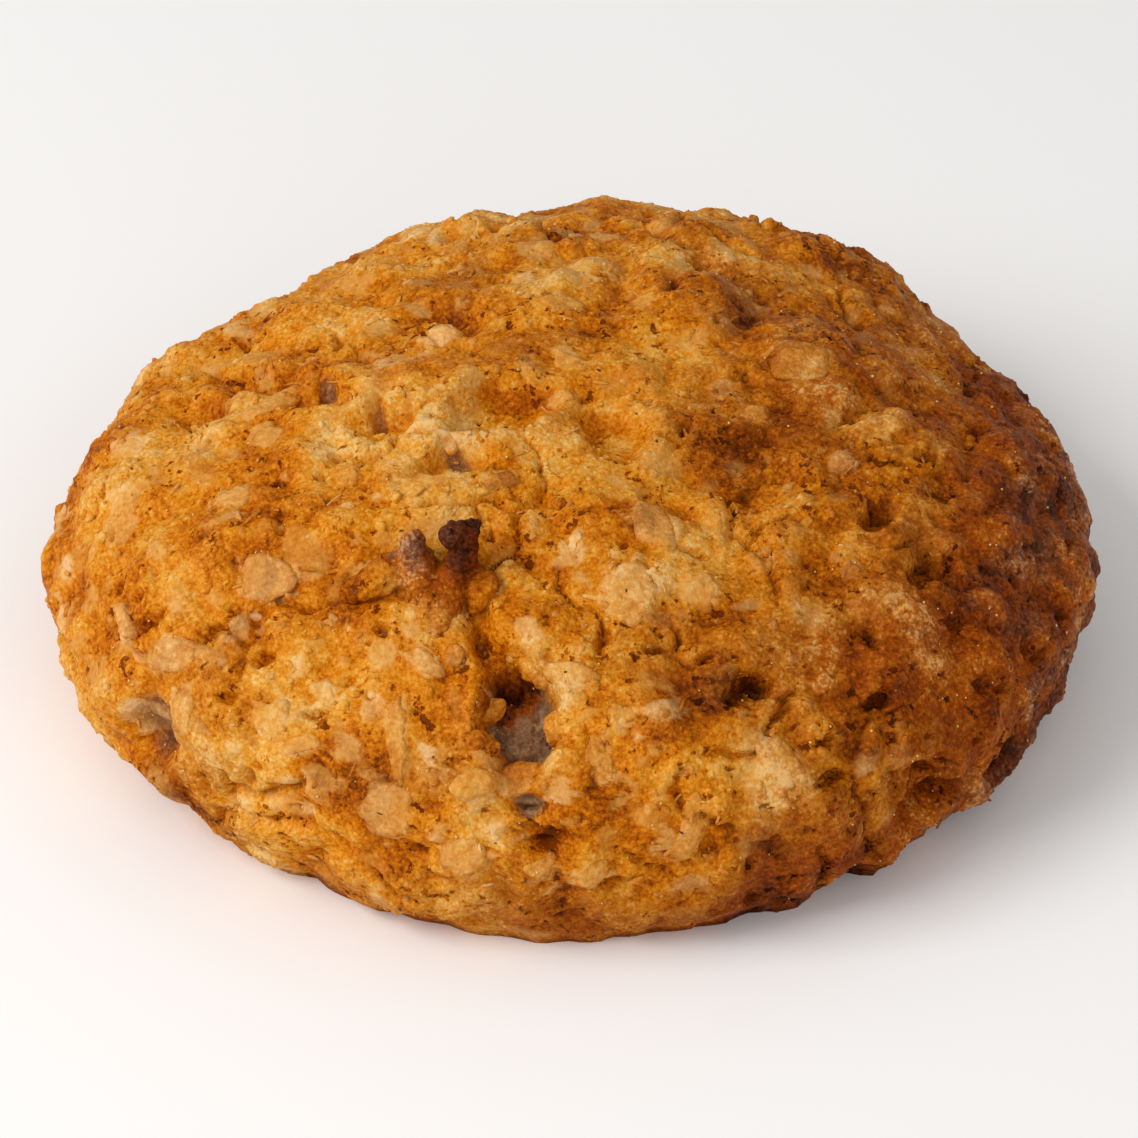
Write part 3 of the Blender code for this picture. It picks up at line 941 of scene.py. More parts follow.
    @staticmethod
    def _averaged(values: np.ndarray, ends: np.ndarray, rounds: int) -> np.ndarray:
        """Values averaged with those of their neighbours, again and again.

        Args:
            values: one for each vertex.
            ends: the two vertices of each edge.
            rounds: how many times.

        Returns:
            The averages.
        """
        count = np.bincount(ends.ravel(), minlength=len(values))
        for _ in range(rounds):
            total = np.bincount(ends[:, 0], weights=values[ends[:, 1]], minlength=len(values))
            total += np.bincount(ends[:, 1], weights=values[ends[:, 0]], minlength=len(values))
            values = (values + total) / (1 + count)
        return values

    def _add_attributes(self, data: bpy.types.Mesh, heights: np.ndarray, oat: np.ndarray, tint: np.ndarray,
                        moist: np.ndarray) -> None:
        """Gives each vertex what its colour depends on.

        Args:
            data: the dough's mesh.
            heights: how far each vertex stands off the smooth dome.
            oat: how much each is of an oat, from 0 to 1.
            tint: how pale that oat is.
            moist: how wet the pits are.
        """
        ends = np.empty(len(data.edges) * 2, np.int64)
        data.edges.foreach_get("vertices", ends)
        ends = ends.reshape(-1, 2)
        near = self._averaged(heights, ends, self.near)
        far = self._averaged(heights, ends, self.far)
        oven = Oven()
        grade = {
            # near: how far a vertex stands above its near surroundings, which the finish turns into painted
            # shade in creases and small hollows
            "near": np.clip(0.5 + (heights - near) / self.near_depth, 0, self.near_most),
            "far": np.clip(0.5 + (near - far) / self.far_depth, 0, 1),
            "bake_and_shade": np.array([oven.browning_and_shade(point) for point in self.smooth]),
            "tone": np.array([oven.tone(point) for point in self.smooth]),
            "oat": oat,
            "tint": self._averaged(tint, ends, 1),
            "moist": np.maximum(moist, [moisture(point) for point in self.smooth]),
        }
        add_attributes(data, grade)
        clear = np.array([by_the_hollow(point) for point in self.smooth], float)
        self.grades = grade | {"clear": clear}


HOLLOW_SHADOWS = ((261.0, 53.5, 2.6 * MM), (260.0, 58.0, 2.0 * MM))
# Painted shadow on the shaded upper left wall of the big hollow and on its head: bearings, falls and how far
# round each reaches.
"""The dark upper left wall of the big hollow and its head: bearings, falls and how far round each reaches."""
HOLLOW_SHADOW_SPOTS = [(dome_point(direction_of(bearing, fall)), reach) for bearing, fall, reach in HOLLOW_SHADOWS]
SHADOW_CORE = 0.3
# The share of a painted shadow, from its middle out, that is fully dark.
"""The share of a stain, from its middle out, that is fully dark."""
STRETCH_CORE = 0.2
"""The same for a stretch of STRETCHES, below."""


def painted_hollow_shadow(point: Vector) -> float:
    """How much painted shadow lies at a point, on the big hollow's shaded upper left wall and its head.

    Args:
        point: on the smooth dome.

    Returns:
        From 0, none, to 1, the darkest.
    """
    ragged = shaken(point)
    return max(1 - smooth_step(SHADOW_CORE, 1.0, (ragged - middle).length / reach)
               for middle, reach in HOLLOW_SHADOW_SPOTS)


@dataclass(frozen=True)
class Browned:
    """A stretch of crust that the photograph shows browner or darker, or below 0 more golden."""

    bearing: float
    fall: float
    reach: float
    amount: float
    lightness: float = 0.0
    """How much lighter, or below 0 darker, without a change of hue."""

    def middle(self) -> Vector:
        """Where it is on the smooth dome."""
        return dome_point(direction_of(self.bearing, self.fall))


STRETCHES = (
    # the golden front of the bottom edge, and the golden crumb right of the clump
    Browned(277, 98, 9 * MM, -0.40),
    Browned(267, 90, 8 * MM, 0.0, -0.14),
    Browned(246, 15, 10 * MM, -0.26, 0.22),
    Browned(251, 36, 6 * MM, -0.10, 0.10),
    Browned(292, 22, 8 * MM, -0.14),
    Browned(236, 103, 7 * MM, -0.32, 0.06),
    # the deep orange shoulder and the darker lower right
    Browned(14, 32, 12 * MM, 0.22),
    Browned(350, 20, 8 * MM, 0.08, -0.16),
    Browned(333, 63, 8 * MM, 0.14, -0.12),
    Browned(286, 52, 8 * MM, 0.10, -0.04),
    Browned(303, 40, 6 * MM, 0.06, -0.10),
    Browned(316, 76, 11 * MM, 0.30),
    # the browner left, lower left and back left
    Browned(184, 80, 11 * MM, 0.14, -0.10),
    Browned(222, 86, 15 * MM, 0.38, -0.08),
    Browned(250, 84, 10 * MM, 0.22, -0.07),
    Browned(128, 32, 10 * MM, 0.14, -0.16),
    # the back right, golden again
    Browned(45, 50, 12 * MM, -0.16),
)
STRETCHED = [(stretch.middle(), stretch) for stretch in STRETCHES]


def stretched(point: Vector) -> tuple[float, float]:
    """What STRETCHES add at a point.

    Args:
        point: on the smooth dome.

    Returns:
        How much browner and how much lighter the crust is there.
    """
    shares = [(stretch, 1 - smooth_step(STRETCH_CORE, 1.0, (point - middle).length / stretch.reach))
              for middle, stretch in STRETCHED]
    return (sum(stretch.amount * share for stretch, share in shares),
            sum(stretch.lightness * share for stretch, share in shares))


@dataclass(frozen=True)
class Oven:
    """How the oven coloured the crust: most on the right, at the right rim and near the bottom edge, where
    the darkening is partly painted shade. It also puts painted shadow on the big hollow's upper left wall.
    """

    half_width: float = 38 * MM
    everywhere: float = 0.25
    right: float = 0.50
    right_rim: float = 0.22
    low: float = 0.32
    low_right: float = 0.12
    underside: float = 0.2
    # The next two are painted shadow on the big hollow's shaded upper left wall and its head: how much it
    # browns them, and how much it darkens them.
    scorched: float = 0.75
    shadow_darkens: float = 0.22
    rightward: tuple[float, float] = (0.9, 0.05)
    """The way to the oven's hot side, along X and Y."""
    rim_band: tuple[float, float] = (0.62, 0.95)
    """How far that way, against half the width, the right rim starts and is full."""
    low_band: tuple[float, float] = (2 * MM, 15 * MM)
    """The heights that the browning near the bottom edge fades between."""
    patches: tuple[tuple[float, float], ...] = ((11 * MM, 0.30), (4 * MM, 0.14))
    """The sizes of broad and small patches, and how strong they are."""

    def browning_and_shade(self, point: Vector) -> float:
        """How far the crust is browned, with painted shade and the hollow's painted shadow added in.

        Args:
            point: on the smooth dome.

        Returns:
            From 0, golden, to 1, dark brown.
        """
        side = point.x / self.half_width * self.rightward[0] + point.y / self.half_width * self.rightward[1]
        rim = smooth_step(*self.rim_band, side)
        low = 1 - smooth_step(*self.low_band, point.z)
        (broad, strong), (small, weak) = self.patches
        patches = strong * noise.noise(point / broad + BROWN_PATCHES_AT) + weak * noise.noise(point / small)
        under = self.underside if point.z < FOOT_EDGE else 0.0
        whole = self.everywhere + self.right * side + self.right_rim * rim
        whole = whole + (self.low + self.low_right * side) * low + patches + under
        return min(1.0, max(0.0, whole + stretched(point)[0] + self.scorched * painted_hollow_shadow(point)))

    def tone(self, point: Vector) -> float:
        """How light the crust is at a point of the smooth dome, whatever its hue; 0.5 is the middle. It is
        lower under the painted shadow on the big hollow's wall.
        """
        return 0.5 - self.shadow_darkens * painted_hollow_shadow(point) + stretched(point)[1]


MOIST_DENTS = ((0, 1.0), (3, 0.8), (5, 0.55))
"""Which of DENTS have a wet floor, and how wet."""
WET_BAND = (0.5, 0.95)
"""How far out in such a dent it starts to dry, and is dry."""
CLEAR_MARGIN = 4 * MM
"""How far round the big hollow no loose chip lies, on both sides together."""


def moisture(point: Vector) -> float:
    """How wet and grey the crumb is.

    Args:
        point: on the smooth dome.

    Returns:
        From 0, dry, to 1, wet.
    """
    wet = 0.0
    ragged = shaken(point)
    for index, share in MOIST_DENTS:
        dent, to_dent = DENT_FRAMES[index]
        wet = max(wet, share * (1 - smooth_step(*WET_BAND, dent.reach(to_dent @ ragged))))
    return wet


def by_the_hollow(point: Vector) -> bool:
    """Whether a point of the smooth dome is in the big hollow or beside it."""
    dent, to_dent = DENT_FRAMES[0]
    return dent.reach(to_dent @ point, CLEAR_MARGIN) < 1


Socket = bpy.types.NodeSocket
Stops = tuple[tuple[float, str], ...]
"""A colour ramp: places from 0 to 1, and their colours."""


class Joint(Enum):
    """How two numbers are joined."""

    TIMES = "MULTIPLY"
    PLUS = "ADD"


class Finish:
    """A material being made: its Principled shader and the nodes that feed it."""

    def __init__(self, name: str) -> None:
        """Starts a material.

        Args:
            name: the real material's name.
        """
        self.made = bpy.data.materials.new(name)
        self.made.use_nodes = True
        self.shader = self.made.node_tree.nodes["Principled BSDF"]
        self.place = self.add("TexCoord").outputs["Object"]

    def add(self, kind: str, settings: dict | None = None, links: dict | None = None) -> bpy.types.Node:
        """Adds a shader node.

        Args:
            kind: the node's type, without "ShaderNode".
            settings: values for the node's properties, or for its inputs by name or number.
            links: for an input's name or number, the output socket that feeds it.

        Returns:
            The node.
        """
        node = self.made.node_tree.nodes.new("ShaderNode" + kind)
        for name, value in (settings or {}).items():
            if isinstance(name, int) or name in node.inputs:
                node.inputs[name].default_value = value
            else:
                setattr(node, name, value)
        for name, source in (links or {}).items():
            self.made.node_tree.links.new(source, node.inputs[name])
        return node

    def feed(self, socket: Socket, value: float | str | tuple | Socket) -> None:
        """Gives an input its value, its colour or what it is linked to.

        Args:
            socket: the input.
            value: a number, a hex colour or another node's output.
        """
        if isinstance(value, Socket):
            self.made.node_tree.links.new(value, socket)
        else:
            socket.default_value = linear(value) if isinstance(value, str) else value

    def set(self, **values: float | str | tuple | Socket) -> None:
        """Sets or feeds the Principled shader's inputs.

        Args:
            values: for each input, named with underscores for spaces, what goes in.
        """
        for name, value in values.items():
            self.feed(self.shader.inputs[name.replace("_", " ")], value)

    def share(self, name: str) -> Socket:
        """One of the mesh's attributes."""
        return self.add("Attribute", {"attribute_name": name}).outputs["Fac"]

    def pattern(self, size: float, detail: float = 2.0, rough: float = 0.55) -> Socket:
        """Even noise of a real size."""
        settings = {"Scale": 1 / size, "Detail": detail, "Roughness": rough}
        return self.add("TexNoise", settings, {"Vector": self.place}).outputs["Fac"]

    def stretch(self, value: Socket, low: float, high: float, to_low: float = 0.0,
                to_high: float = 1.0) -> Socket:
        """A value's range moved to another, with smooth ends.

        Args:
            value: the value.
            low: where its range starts.
            high: where it ends.
            to_low: what the start becomes.
            to_high: what the end becomes.

        Returns:
            The moved value.
        """
        ends = {"From Min": low, "From Max": high, "To Min": to_low, "To Max": to_high}
        node = self.add("MapRange", {"interpolation_type": "SMOOTHSTEP"} | ends, {"Value": value})
        return node.outputs["Result"]

    def join(self, first: Socket, second: Socket | float, joint: Joint = Joint.TIMES) -> Socket:
        """Two numbers joined.

        Args:
            first: a number's socket.
            second: another's, or a number.
            joint: how.

        Returns:
            The result.
        """
        node = self.add("Math", {"operation": joint.value}, {0: first})
        self.feed(node.inputs[1], second)
        return node.outputs[0]

    def total(self, start: float, *parts: tuple[Socket, float, float]) -> Socket:
        """A sum of numbers, each taken about its own middle.

        Args:
            start: what the sum starts from.
            parts: for each number, its socket, its middle and its weight.

        Returns:
            The sum.
        """
        whole = None
        for value, middle, weight in parts:
            settings = {"operation": "MULTIPLY_ADD", 1: weight, 2: -middle * weight}
            scaled = self.add("Math", settings, {0: value}).outputs[0]
            whole = self.join(scaled, start if whole is None else whole, Joint.PLUS)
        return whole

    def ramp(self, value: Socket, stops: Stops) -> Socket:
        """A colour for a number.

        Args:
            value: the number, from 0 to 1.
            stops: places on the way and their colours.

        Returns:
            The colour.
        """
        node = self.add("ValToRGB", {}, {"Fac": value})
        points = node.color_ramp.elements
        while len(points) < len(stops):
            points.new(0.5)
        for point, (place, colour) in zip(points, stops):
            point.position = place
            point.color = linear(colour)
        return node.outputs["Color"]

    def loosened(self, size: float, by: float) -> Socket:
        """Shakes the place by noise, so that a pattern on it loses its regularity.

        Args:
            size: of the noise.
            by: how far the place is moved, in metres.

        Returns:
            The shaken place.
        """
        noisy = self.add("TexNoise", {"Scale": 1 / size, "Detail": 1.0}, {"Vector": self.place})
        settings = {"operation": "MULTIPLY_ADD", 1: (by, by, by)}
        return self.add("VectorMath", settings, {0: noisy.outputs["Color"], 2: self.place}).outputs[0]

    def cells(self, size: float, place: Socket) -> tuple[Socket, Socket]:
        """Grains of a real size: how far a place is from its grain's middle, and a number for each grain."""
        node = self.add("TexVoronoi", {"Scale": 1 / size}, {"Vector": place})
        return node.outputs["Distance"], node.outputs["Color"]

    def blend(self, factor: Socket, first: Socket | str, second: Socket | str) -> Socket:
        """Two colours mixed.

        Args:
            factor: from 0, the first, to 1, the second.
            first: a colour, or its socket.
            second: the same.

        Returns:
            The mixed colour.
        """
        node = self.add("Mix", {"data_type": "RGBA"}, {"Factor": factor})
        self.feed(node.inputs[6], first)
        self.feed(node.inputs[7], second)
        return node.outputs[2]

    def rough_up(self, height: Socket, depth: float) -> None:
        """Gives the surface a fine relief that is too small to model.

        Args:
            height: the relief's pattern.
            depth: its depth, in metres.
        """
        bump = self.add("Bump", {"Strength": 1.0, "Distance": depth}, {"Height": height})
        self.set(Normal=bump.outputs["Normal"])


@dataclass(frozen=True)
class BakedDough:
    """Oat dough baked with honey: a moist golden crumb of fine grains, tan skins, and paler oats in it."""

    crumb: Stops = (
        (0.0, "#703000"), (0.22, "#A45000"), (0.42, "#C26C02"), (0.60, "#D0841C"), (0.80, "#D89C40"),
        (1.0, "#E0B470"),
    )
    """From the pores to the palest grains."""
    browned: Stops = (
        (0.0, "#3A1400"), (0.25, "#602400"), (0.48, "#843800"), (0.68, "#9C4A02"), (0.85, "#B0641A"),
        (1.0, "#C89050"),
    )
    skin: Stops = (
        (0.0, "#6C3006"), (0.30, "#9C4E0E"), (0.55, "#BE6E22"), (0.80, "#CE8E46"), (1.0, "#D8AE74"),
    )
    """Tan and duller than the crumb, as what stands out dries first."""
    oats: Stops = ((0.0, "#8E4A10"), (0.35, "#BC701E"), (0.6, "#CC8E40"), (0.8, "#D8A45E"), (1.0, "#E6C28E"))
    crust: Stops = ((0.0, "#1A0A04"), (0.35, "#3C1C10"), (0.6, "#5E3420"), (0.8, "#7C4E36"), (1.0, "#A87A5C"))
    # Where the oven reached most, and partly the painted shadow on the big hollow's upper left wall: dull
    # mauve-brown.
    """Where the oven reached most: dull mauve-brown."""
    wet: Stops = ((0.0, "#4A2C16"), (0.45, "#8A6444"), (0.75, "#B08A62"), (1.0, "#E0C096"))
    """The hollow's floor: grey-brown and glistening."""
    roughness: float = 0.5
    wet_roughness: float = 0.32
    specular: float = 0.05
    """Low, as crumb is porous and hardly glossy."""
    zone: float = 8.0 * MM
    """Darker and lighter stretches of crust, a finger's width across."""
    drift: float = 5.0 * MM
    """Where pores lie thick."""
    skin_patch: float = 4.2 * MM
    mottling: float = 3.2 * MM
    """Sugar and honey that gathered while the dough baked, from this size down to a grain."""
    browned_patch: float = 1.8 * MM
    pore: float = 0.95 * MM
    loosening: tuple[float, float] = (0.5 * MM, 0.25 * MM)
    coarse_grain: float = 0.45 * MM
    froth: float = 0.34 * MM
    """The finest grains, which blur the others."""
    grain: float = 0.25 * MM
    relief: float = 0.06 * MM

    def material(self) -> bpy.types.Material:
        """Makes the material.

        Returns:
            The crumb's material, which reads the attributes of the dough and of the pieces in it.
        """
        made = Finish("baked oat dough")
        near, far, bake_and_shade = made.share("near"), made.share("far"), made.share("bake_and_shade")
        tone, tint, oat = made.share("tone"), made.share("tint"), made.share("oat")
        mottle = made.pattern(self.mottling, 7.0, 0.66)
        # grains, painted darker towards the gaps between them as shade, and painted glints, lighter grains,
        # on some
        loose = made.loosened(*self.loosening)
        from_middle, each = made.cells(self.grain, loose)
        froth = made.pattern(self.froth, 4.0, 0.65)
        painted_glint = made.stretch(each, 0.62, 0.72)
        # pores between the grains, in drifts, and hardly any in an oat: painted dark as the shade inside
        # them, and dented a little by the relief below
        pore = made.join(made.stretch(made.pattern(self.pore, 3.0, 0.6), 0.59, 0.68),
                         made.stretch(made.pattern(self.drift), 0.36, 0.60))
        pore = made.join(pore, made.stretch(oat, 0.2, 0.8, 1.0, 0.1))
        # In the level, near is painted shade: darker and more orange in creases and small hollows, lighter
        # where the crumb stands out. far makes broad swells lighter and broad hollows darker.
        level = made.total(
            0.55, (made.pattern(self.zone, 3.0), 0.5, 1.8), (mottle, 0.5, 0.85), (each, 0.5, 0.06),
            (painted_glint, 0.0, 0.07), (from_middle, 0.4, -0.22), (froth, 0.5, 1.15),
            (near, 0.5, 0.28), (far, 0.5, 0.24), (tone, 0.5, 0.9), (pore, 0.0, -0.62),
        )
        colour = made.ramp(level, self.crumb)
        # tan skins on what stands out
        skin = made.join(made.stretch(far, 0.40, 0.75),
                         made.stretch(made.pattern(self.skin_patch, 4.0), 0.42, 0.60))
        colour = made.blend(made.join(skin, 0.45), colour, made.ramp(level, self.skin))
        # an oat is paler and more even than the crumb, from toasted tan to cream
        pale = made.total(0.35, (tint, 0.0, 0.50), (froth, 0.5, 0.6), (mottle, 0.5, 1.0), (near, 0.5, 0.2))
        colour = made.blend(made.stretch(oat, 0.0, 1.0, 0.0, 0.66), colour, made.ramp(pale, self.oats))
        # wet, grey-brown and glistening on the floor of the hollow
        wetness = made.share("moist")
        sheen = made.total(0.5, (mottle, 0.5, 1.0), (froth, 0.5, 1.2), (each, 0.5, 0.15), (near, 0.5, 0.3))
        colour = made.blend(made.stretch(wetness, 0.2, 0.8), colour, made.ramp(sheen, self.wet))
        # browned by the oven, in ragged patches; the browning also carries painted shade on the right and low
        # down, and the hollow's painted shadow
        brown_and_shade = made.total(0.0, (bake_and_shade, 0.0, 1.0), (made.pattern(self.browned_patch, 5.0, 0.6), 0.5, 0.7))
        colour = made.blend(made.stretch(brown_and_shade, 0.22, 0.80), colour, made.ramp(level, self.browned))
        colour = made.blend(made.stretch(brown_and_shade, 0.78, 1.15), colour, made.ramp(level, self.crust))
        gloss = made.stretch(wetness, 0.1, 0.8, self.roughness, self.wet_roughness)
        made.set(Base_Color=colour, Roughness=gloss, Specular_IOR_Level=self.specular)
        coarse, _ = made.cells(self.coarse_grain, loose)
        height = made.total(0.0, (from_middle, 0.4, -0.5), (coarse, 0.4, -0.9), (froth, 0.5, 0.8),
                            (pore, 0.0, -1.6))
        made.rough_up(height, self.relief)
        return made.made


@dataclass(frozen=True)
class PlainFinish:
    """A material that is the same all over, on pieces too small to show more."""

    name: str
    colour: str
    roughness: float
    ior: float = 1.5
    specular: float = 0.5

    def material(self) -> bpy.types.Material:
        """Makes the material.

        Returns:
            The material.
        """
        made = Finish(self.name)
        made.set(Base_Color=self.colour, Roughness=self.roughness)
        made.set(IOR=self.ior, Specular_IOR_Level=self.specular)
        return made.made


SUGAR_CRYSTAL = PlainFinish("sugar crystal", "#E0B468", 0.16, ior=1.54, specular=0.7)
"""Grains of sugar that didn't melt: clear and honey-coloured, with bright faces."""
SCORCHED_BRAN = PlainFinish("scorched bran", "#42220E", 0.7)
"""Specks of bran, near black and dull."""


@dataclass
class SmallPieces:
    """Small pieces of one kind, strewn over the dough and joined in one mesh."""

    dough: Dough
    """For its attributes."""
    ground: bpy.types.Object
    """The dough's object, that the pieces lie on."""
    seed: int

    def __post_init__(self) -> None:
        """Reads the dough's mesh."""
        data = self.ground.data
        self.points = np.empty(len(data.vertices) * 3)
        data.vertices.foreach_get("co", self.points)
        self.points = self.points.reshape(-1, 3)
        normals = np.empty(len(data.vertices) * 3, np.float32)
        data.vertex_normals.foreach_get("vector", normals)
        self.normals = normals.reshape(-1, 3).astype(float)
        self.ways_out = np.array(self.dough.normals)
        corners = np.empty(len(data.loops), np.int64)
        data.loops.foreach_get("vertex_index", corners)
        self.corners = corners.reshape(-1, 4)
        areas = np.empty(len(data.polygons), np.float32)
        data.polygons.foreach_get("area", areas)
        self.areas = areas.astype(float)
        self.draw = np.random.default_rng(self.seed)
        self.faces = self.shares = None

    def scatter(self, count: int, favour: np.ndarray) -> None:
        """Chooses random spots on the dough.

        Args:
            count: how many.
            favour: how dense the pieces lie at each of the dough's vertices, against 1.
        """
        weights = self.areas * favour[self.corners].mean(axis=1)
        self.faces = self.corners[self.draw.choice(len(weights), count, p=weights / weights.sum())]
        along, aside = self.draw.random((2, count))
        self.shares = np.stack(
            ((1 - along) * (1 - aside), along * (1 - aside), along * aside, (1 - along) * aside), axis=1,
        )

    def here(self, values: np.ndarray) -> np.ndarray:
        """What the dough's vertices have, at each chosen spot."""
        return np.einsum("nk,nk...->n...", self.shares, values[self.faces])

    def grade(self, name: str, wander: float = 0.0) -> np.ndarray:
        """One of the dough's attributes at each chosen spot, each off by a random amount."""
        values = self.here(self.dough.grades[name])
        return np.clip(values + self.draw.normal(0, 1, len(values)) * wander, 0, 1)

    def axes(self, normals: np.ndarray, tumbled: float) -> np.ndarray:
        """Three axes for each piece: its length, its width and its thickness, which points out.

        Args:
            normals: the way out at each piece.
            tumbled: how far pieces lean from lying flat, at random; 0 is flat.

        Returns:
            An array of a matrix for each piece, whose rows are the axes.
        """
        out = normals + self.draw.normal(0, 1, normals.shape) * tumbled
        out /= np.linalg.norm(out, axis=1, keepdims=True)
        along = np.cross(out, self.draw.normal(0, 1, normals.shape))
        along /= np.linalg.norm(along, axis=1, keepdims=True)
        return np.stack((along, np.cross(out, along), out), axis=1)

    def shaped(self, shape: bmesh.types.BMesh, places: np.ndarray, axes: np.ndarray, sizes: np.ndarray,
               uneven: float) -> np.ndarray:
        """The corners of a copy of a shape at every place.

        Args:
            shape: the shape, of size 1 on each axis.
            places: where each copy goes.
            axes: each copy's axes.
            sizes: each copy's size on those axes.
            uneven: how far each corner is off, as a share of the copy's size.

        Returns:
            An array of the corners of each copy.
        """
        corners = np.array([vert.co for vert in shape.verts])
        off = self.draw.normal(0, uneven, (len(places), len(corners), 3))
        local = (corners[None] * (1 + off)) * sizes[:, None]
        return places[:, None] + np.einsum("nvi,nij->nvj", local, axes)

    def joined(self, name: str, shape: bmesh.types.BMesh, points: np.ndarray,
               grades: dict[str, np.ndarray]) -> bpy.types.Object:
        """Joins the copies of a shape.

        Args:
            name: the piece's name.
            shape: the shape, which is used up.
            points: the corners of each copy.
            grades: attributes, with a number for each copy, or for each corner of each copy.

        Returns:
            The joined object.
        """
        faces = [[vert.index for vert in face.verts] for face in shape.faces]
        shape.free()
        count, size = points.shape[:2]
        points[..., 2] = np.maximum(points[..., 2], 0.0)
        loops = np.concatenate([np.array(face) for face in faces])
        lengths = np.array([len(face) for face in faces])
        data = bpy.data.meshes.new(name)
        data.vertices.add(count * size)
        data.vertices.foreach_set("co", points.ravel())
        data.loops.add(count * len(loops))
        data.loops.foreach_set("vertex_index", (loops[None] + size * np.arange(count)[:, None]).ravel())
        data.polygons.add(count * len(faces))
        starts = np.concatenate(([0], np.cumsum(np.tile(lengths, count))[:-1]))
        data.polygons.foreach_set("loop_start", starts)
        data.update()
        data.validate()
        for key, values in grades.items():
            spread = values if values.ndim == 2 else np.repeat(values[:, None], size, axis=1)
            add_attributes(data, {key: spread.ravel()})
        return placed(name, data)


@dataclass(frozen=True)
class GrainKind:
    """One size of the crumb's grains."""

    name: str
    seed: int
    count: int
    least: float
    most: float
    """The radius."""
    segments: tuple[int, int]
    low: float
    """How far the lowest lie below the surface, as a share of their radius."""
    high: float


GRAIN_KINDS = (
    GrainKind("coarse_grains", 20, 2800, 0.26 * MM, 0.50 * MM, (8, 5), -0.50, -0.25),
    GrainKind("grains", 21, 5400, 0.15 * MM, 0.26 * MM, (6, 4), -0.45, -0.20),
)


UNDERSIDE = 0.2 * MM
"""Below this height is the flat underside."""
BOTTOM_EDGE = 1 * MM
"""Below this height nothing is strewn but grains."""
CHIPS_LOWEST = 2.5 * MM


@dataclass
class Grains(SmallPieces):
    """The grains of the crumb, 0.2 to 1.3 mm across, that make its surface sandy."""

    probe: float = 0.9 * MM
    flatness: tuple[float, float, float] = (1.0, 1.0, 0.6)
    """Their length, width and thickness, against the radius."""
    smallness: float = 1.8
    unlike: tuple[float, float] = (0.7, 1.35)
    uneven: float = 0.12
    tumbled: float = 0.3
    underside_share: float = 0.25
    """How dense the grains lie underneath, against the rest."""
    sheltered: float = 0.25
    """How dense they lie in the deepest creases."""
    oat_share: float = 0.08
    """How many of the grains are bits of oat."""
    oat_depth: float = 0.7

    def _bare(self, surface: BVHTree, normals: np.ndarray, places: np.ndarray) -> np.ndarray:
        """Which spots aren't covered by a chip or a clump.

        Args:
            surface: the dough with its chips; the dough's faces come first.
            normals: the way out at each spot.
            places: the spots.

        Returns:
            True or False for each spot.
        """
        bare = np.ones(len(places), bool)
        for spot, (place, way) in enumerate(zip(places, normals)):
            out = Vector(way)
            _, _, face, _ = surface.ray_cast(Vector(place) + out * self.probe, -out, self.probe)
            bare[spot] = face is None or face < len(self.corners)
        return bare

    def build(self, kind: GrainKind, surface: BVHTree) -> bpy.types.Object:
        """Makes the grains of one size. None lies on a chip.

        Args:
            kind: the size.
            surface: the dough with its chips; the dough's faces come first.

        Returns:
            The grains, joined.
        """
        grades = self.dough.grades
        favour = np.where(self.points[:, 2] < UNDERSIDE, self.underside_share, 1.0)
        favour = (1 - 0.5 * grades["oat"]) * favour
        self.scatter(kind.count, favour * (1 - 0.5 * grades["moist"]) * (self.sheltered + grades["near"]))
        normals, places = self.here(self.normals), self.here(self.points)
        bare = self._bare(surface, normals, places)
        self.faces, self.shares = self.faces[bare], self.shares[bare]
        normals, places, count = normals[bare], places[bare], bare.sum()
        radius = kind.least + (kind.most - kind.least) * self.draw.random(count) ** self.smallness
        sizes = radius[:, None] * self.draw.uniform(*self.unlike, (count, 3)) * self.flatness
        lift = radius * self.draw.uniform(kind.low, kind.high, count)
        shape = bmesh.new()
        bmesh.ops.create_uvsphere(shape, u_segments=kind.segments[0], v_segments=kind.segments[1], radius=1.0)
        places = places + normals * lift[:, None]
        points = self.shaped(shape, places, self.axes(normals, self.tumbled), sizes, self.uneven)
        own = {
            "bake_and_shade": self.grade("bake_and_shade", 0.04), "far": self.grade("far"), "moist": self.grade("moist"),
            "near": self.grade("near"),
            "tone": np.clip(self.grade("tone") + self.draw.normal(0, 0.04, count), 0, 1),
            "tint": self.draw.random(count),
            "oat": np.maximum(self.grade("oat") * 0.8,
                              (self.draw.random(count) < self.oat_share) * self.oat_depth),
        }
        made = self.joined(kind.name, shape, points, own)
        made.data.shade_smooth()
        return made


@dataclass
class SugarGrains(SmallPieces):
    """Grains of sugar, 0.05 to 0.2 mm across, that sparkle on the crust."""

    count: int = 420
    halves: tuple[float, float] = (0.035 * MM, 0.07 * MM)
    """Half of a grain's side."""
    unlike: tuple[float, float] = (0.7, 1.3)
    proud: float = 0.04 * MM

    def build(self) -> bpy.types.Object:
        """Makes the grains.

        Returns:
            The grains, joined.
        """
        grades = self.dough.grades
        favour = 0.5 + grades["far"] + 4 * grades["moist"]
        self.scatter(self.count, (self.points[:, 2] > BOTTOM_EDGE) * favour)
        sizes = self.draw.uniform(*self.halves, (self.count, 1))
        sizes = sizes * self.draw.uniform(*self.unlike, (self.count, 3))
        normals = self.here(self.normals)
        shape = bmesh.new()
        bmesh.ops.create_cube(shape, size=2.0)
        places = self.here(self.points) + normals * self.proud
        points = self.shaped(shape, places, self.axes(normals, 3.0), sizes, 0.05)
        return self.joined("sugar_grains", shape, points, {})


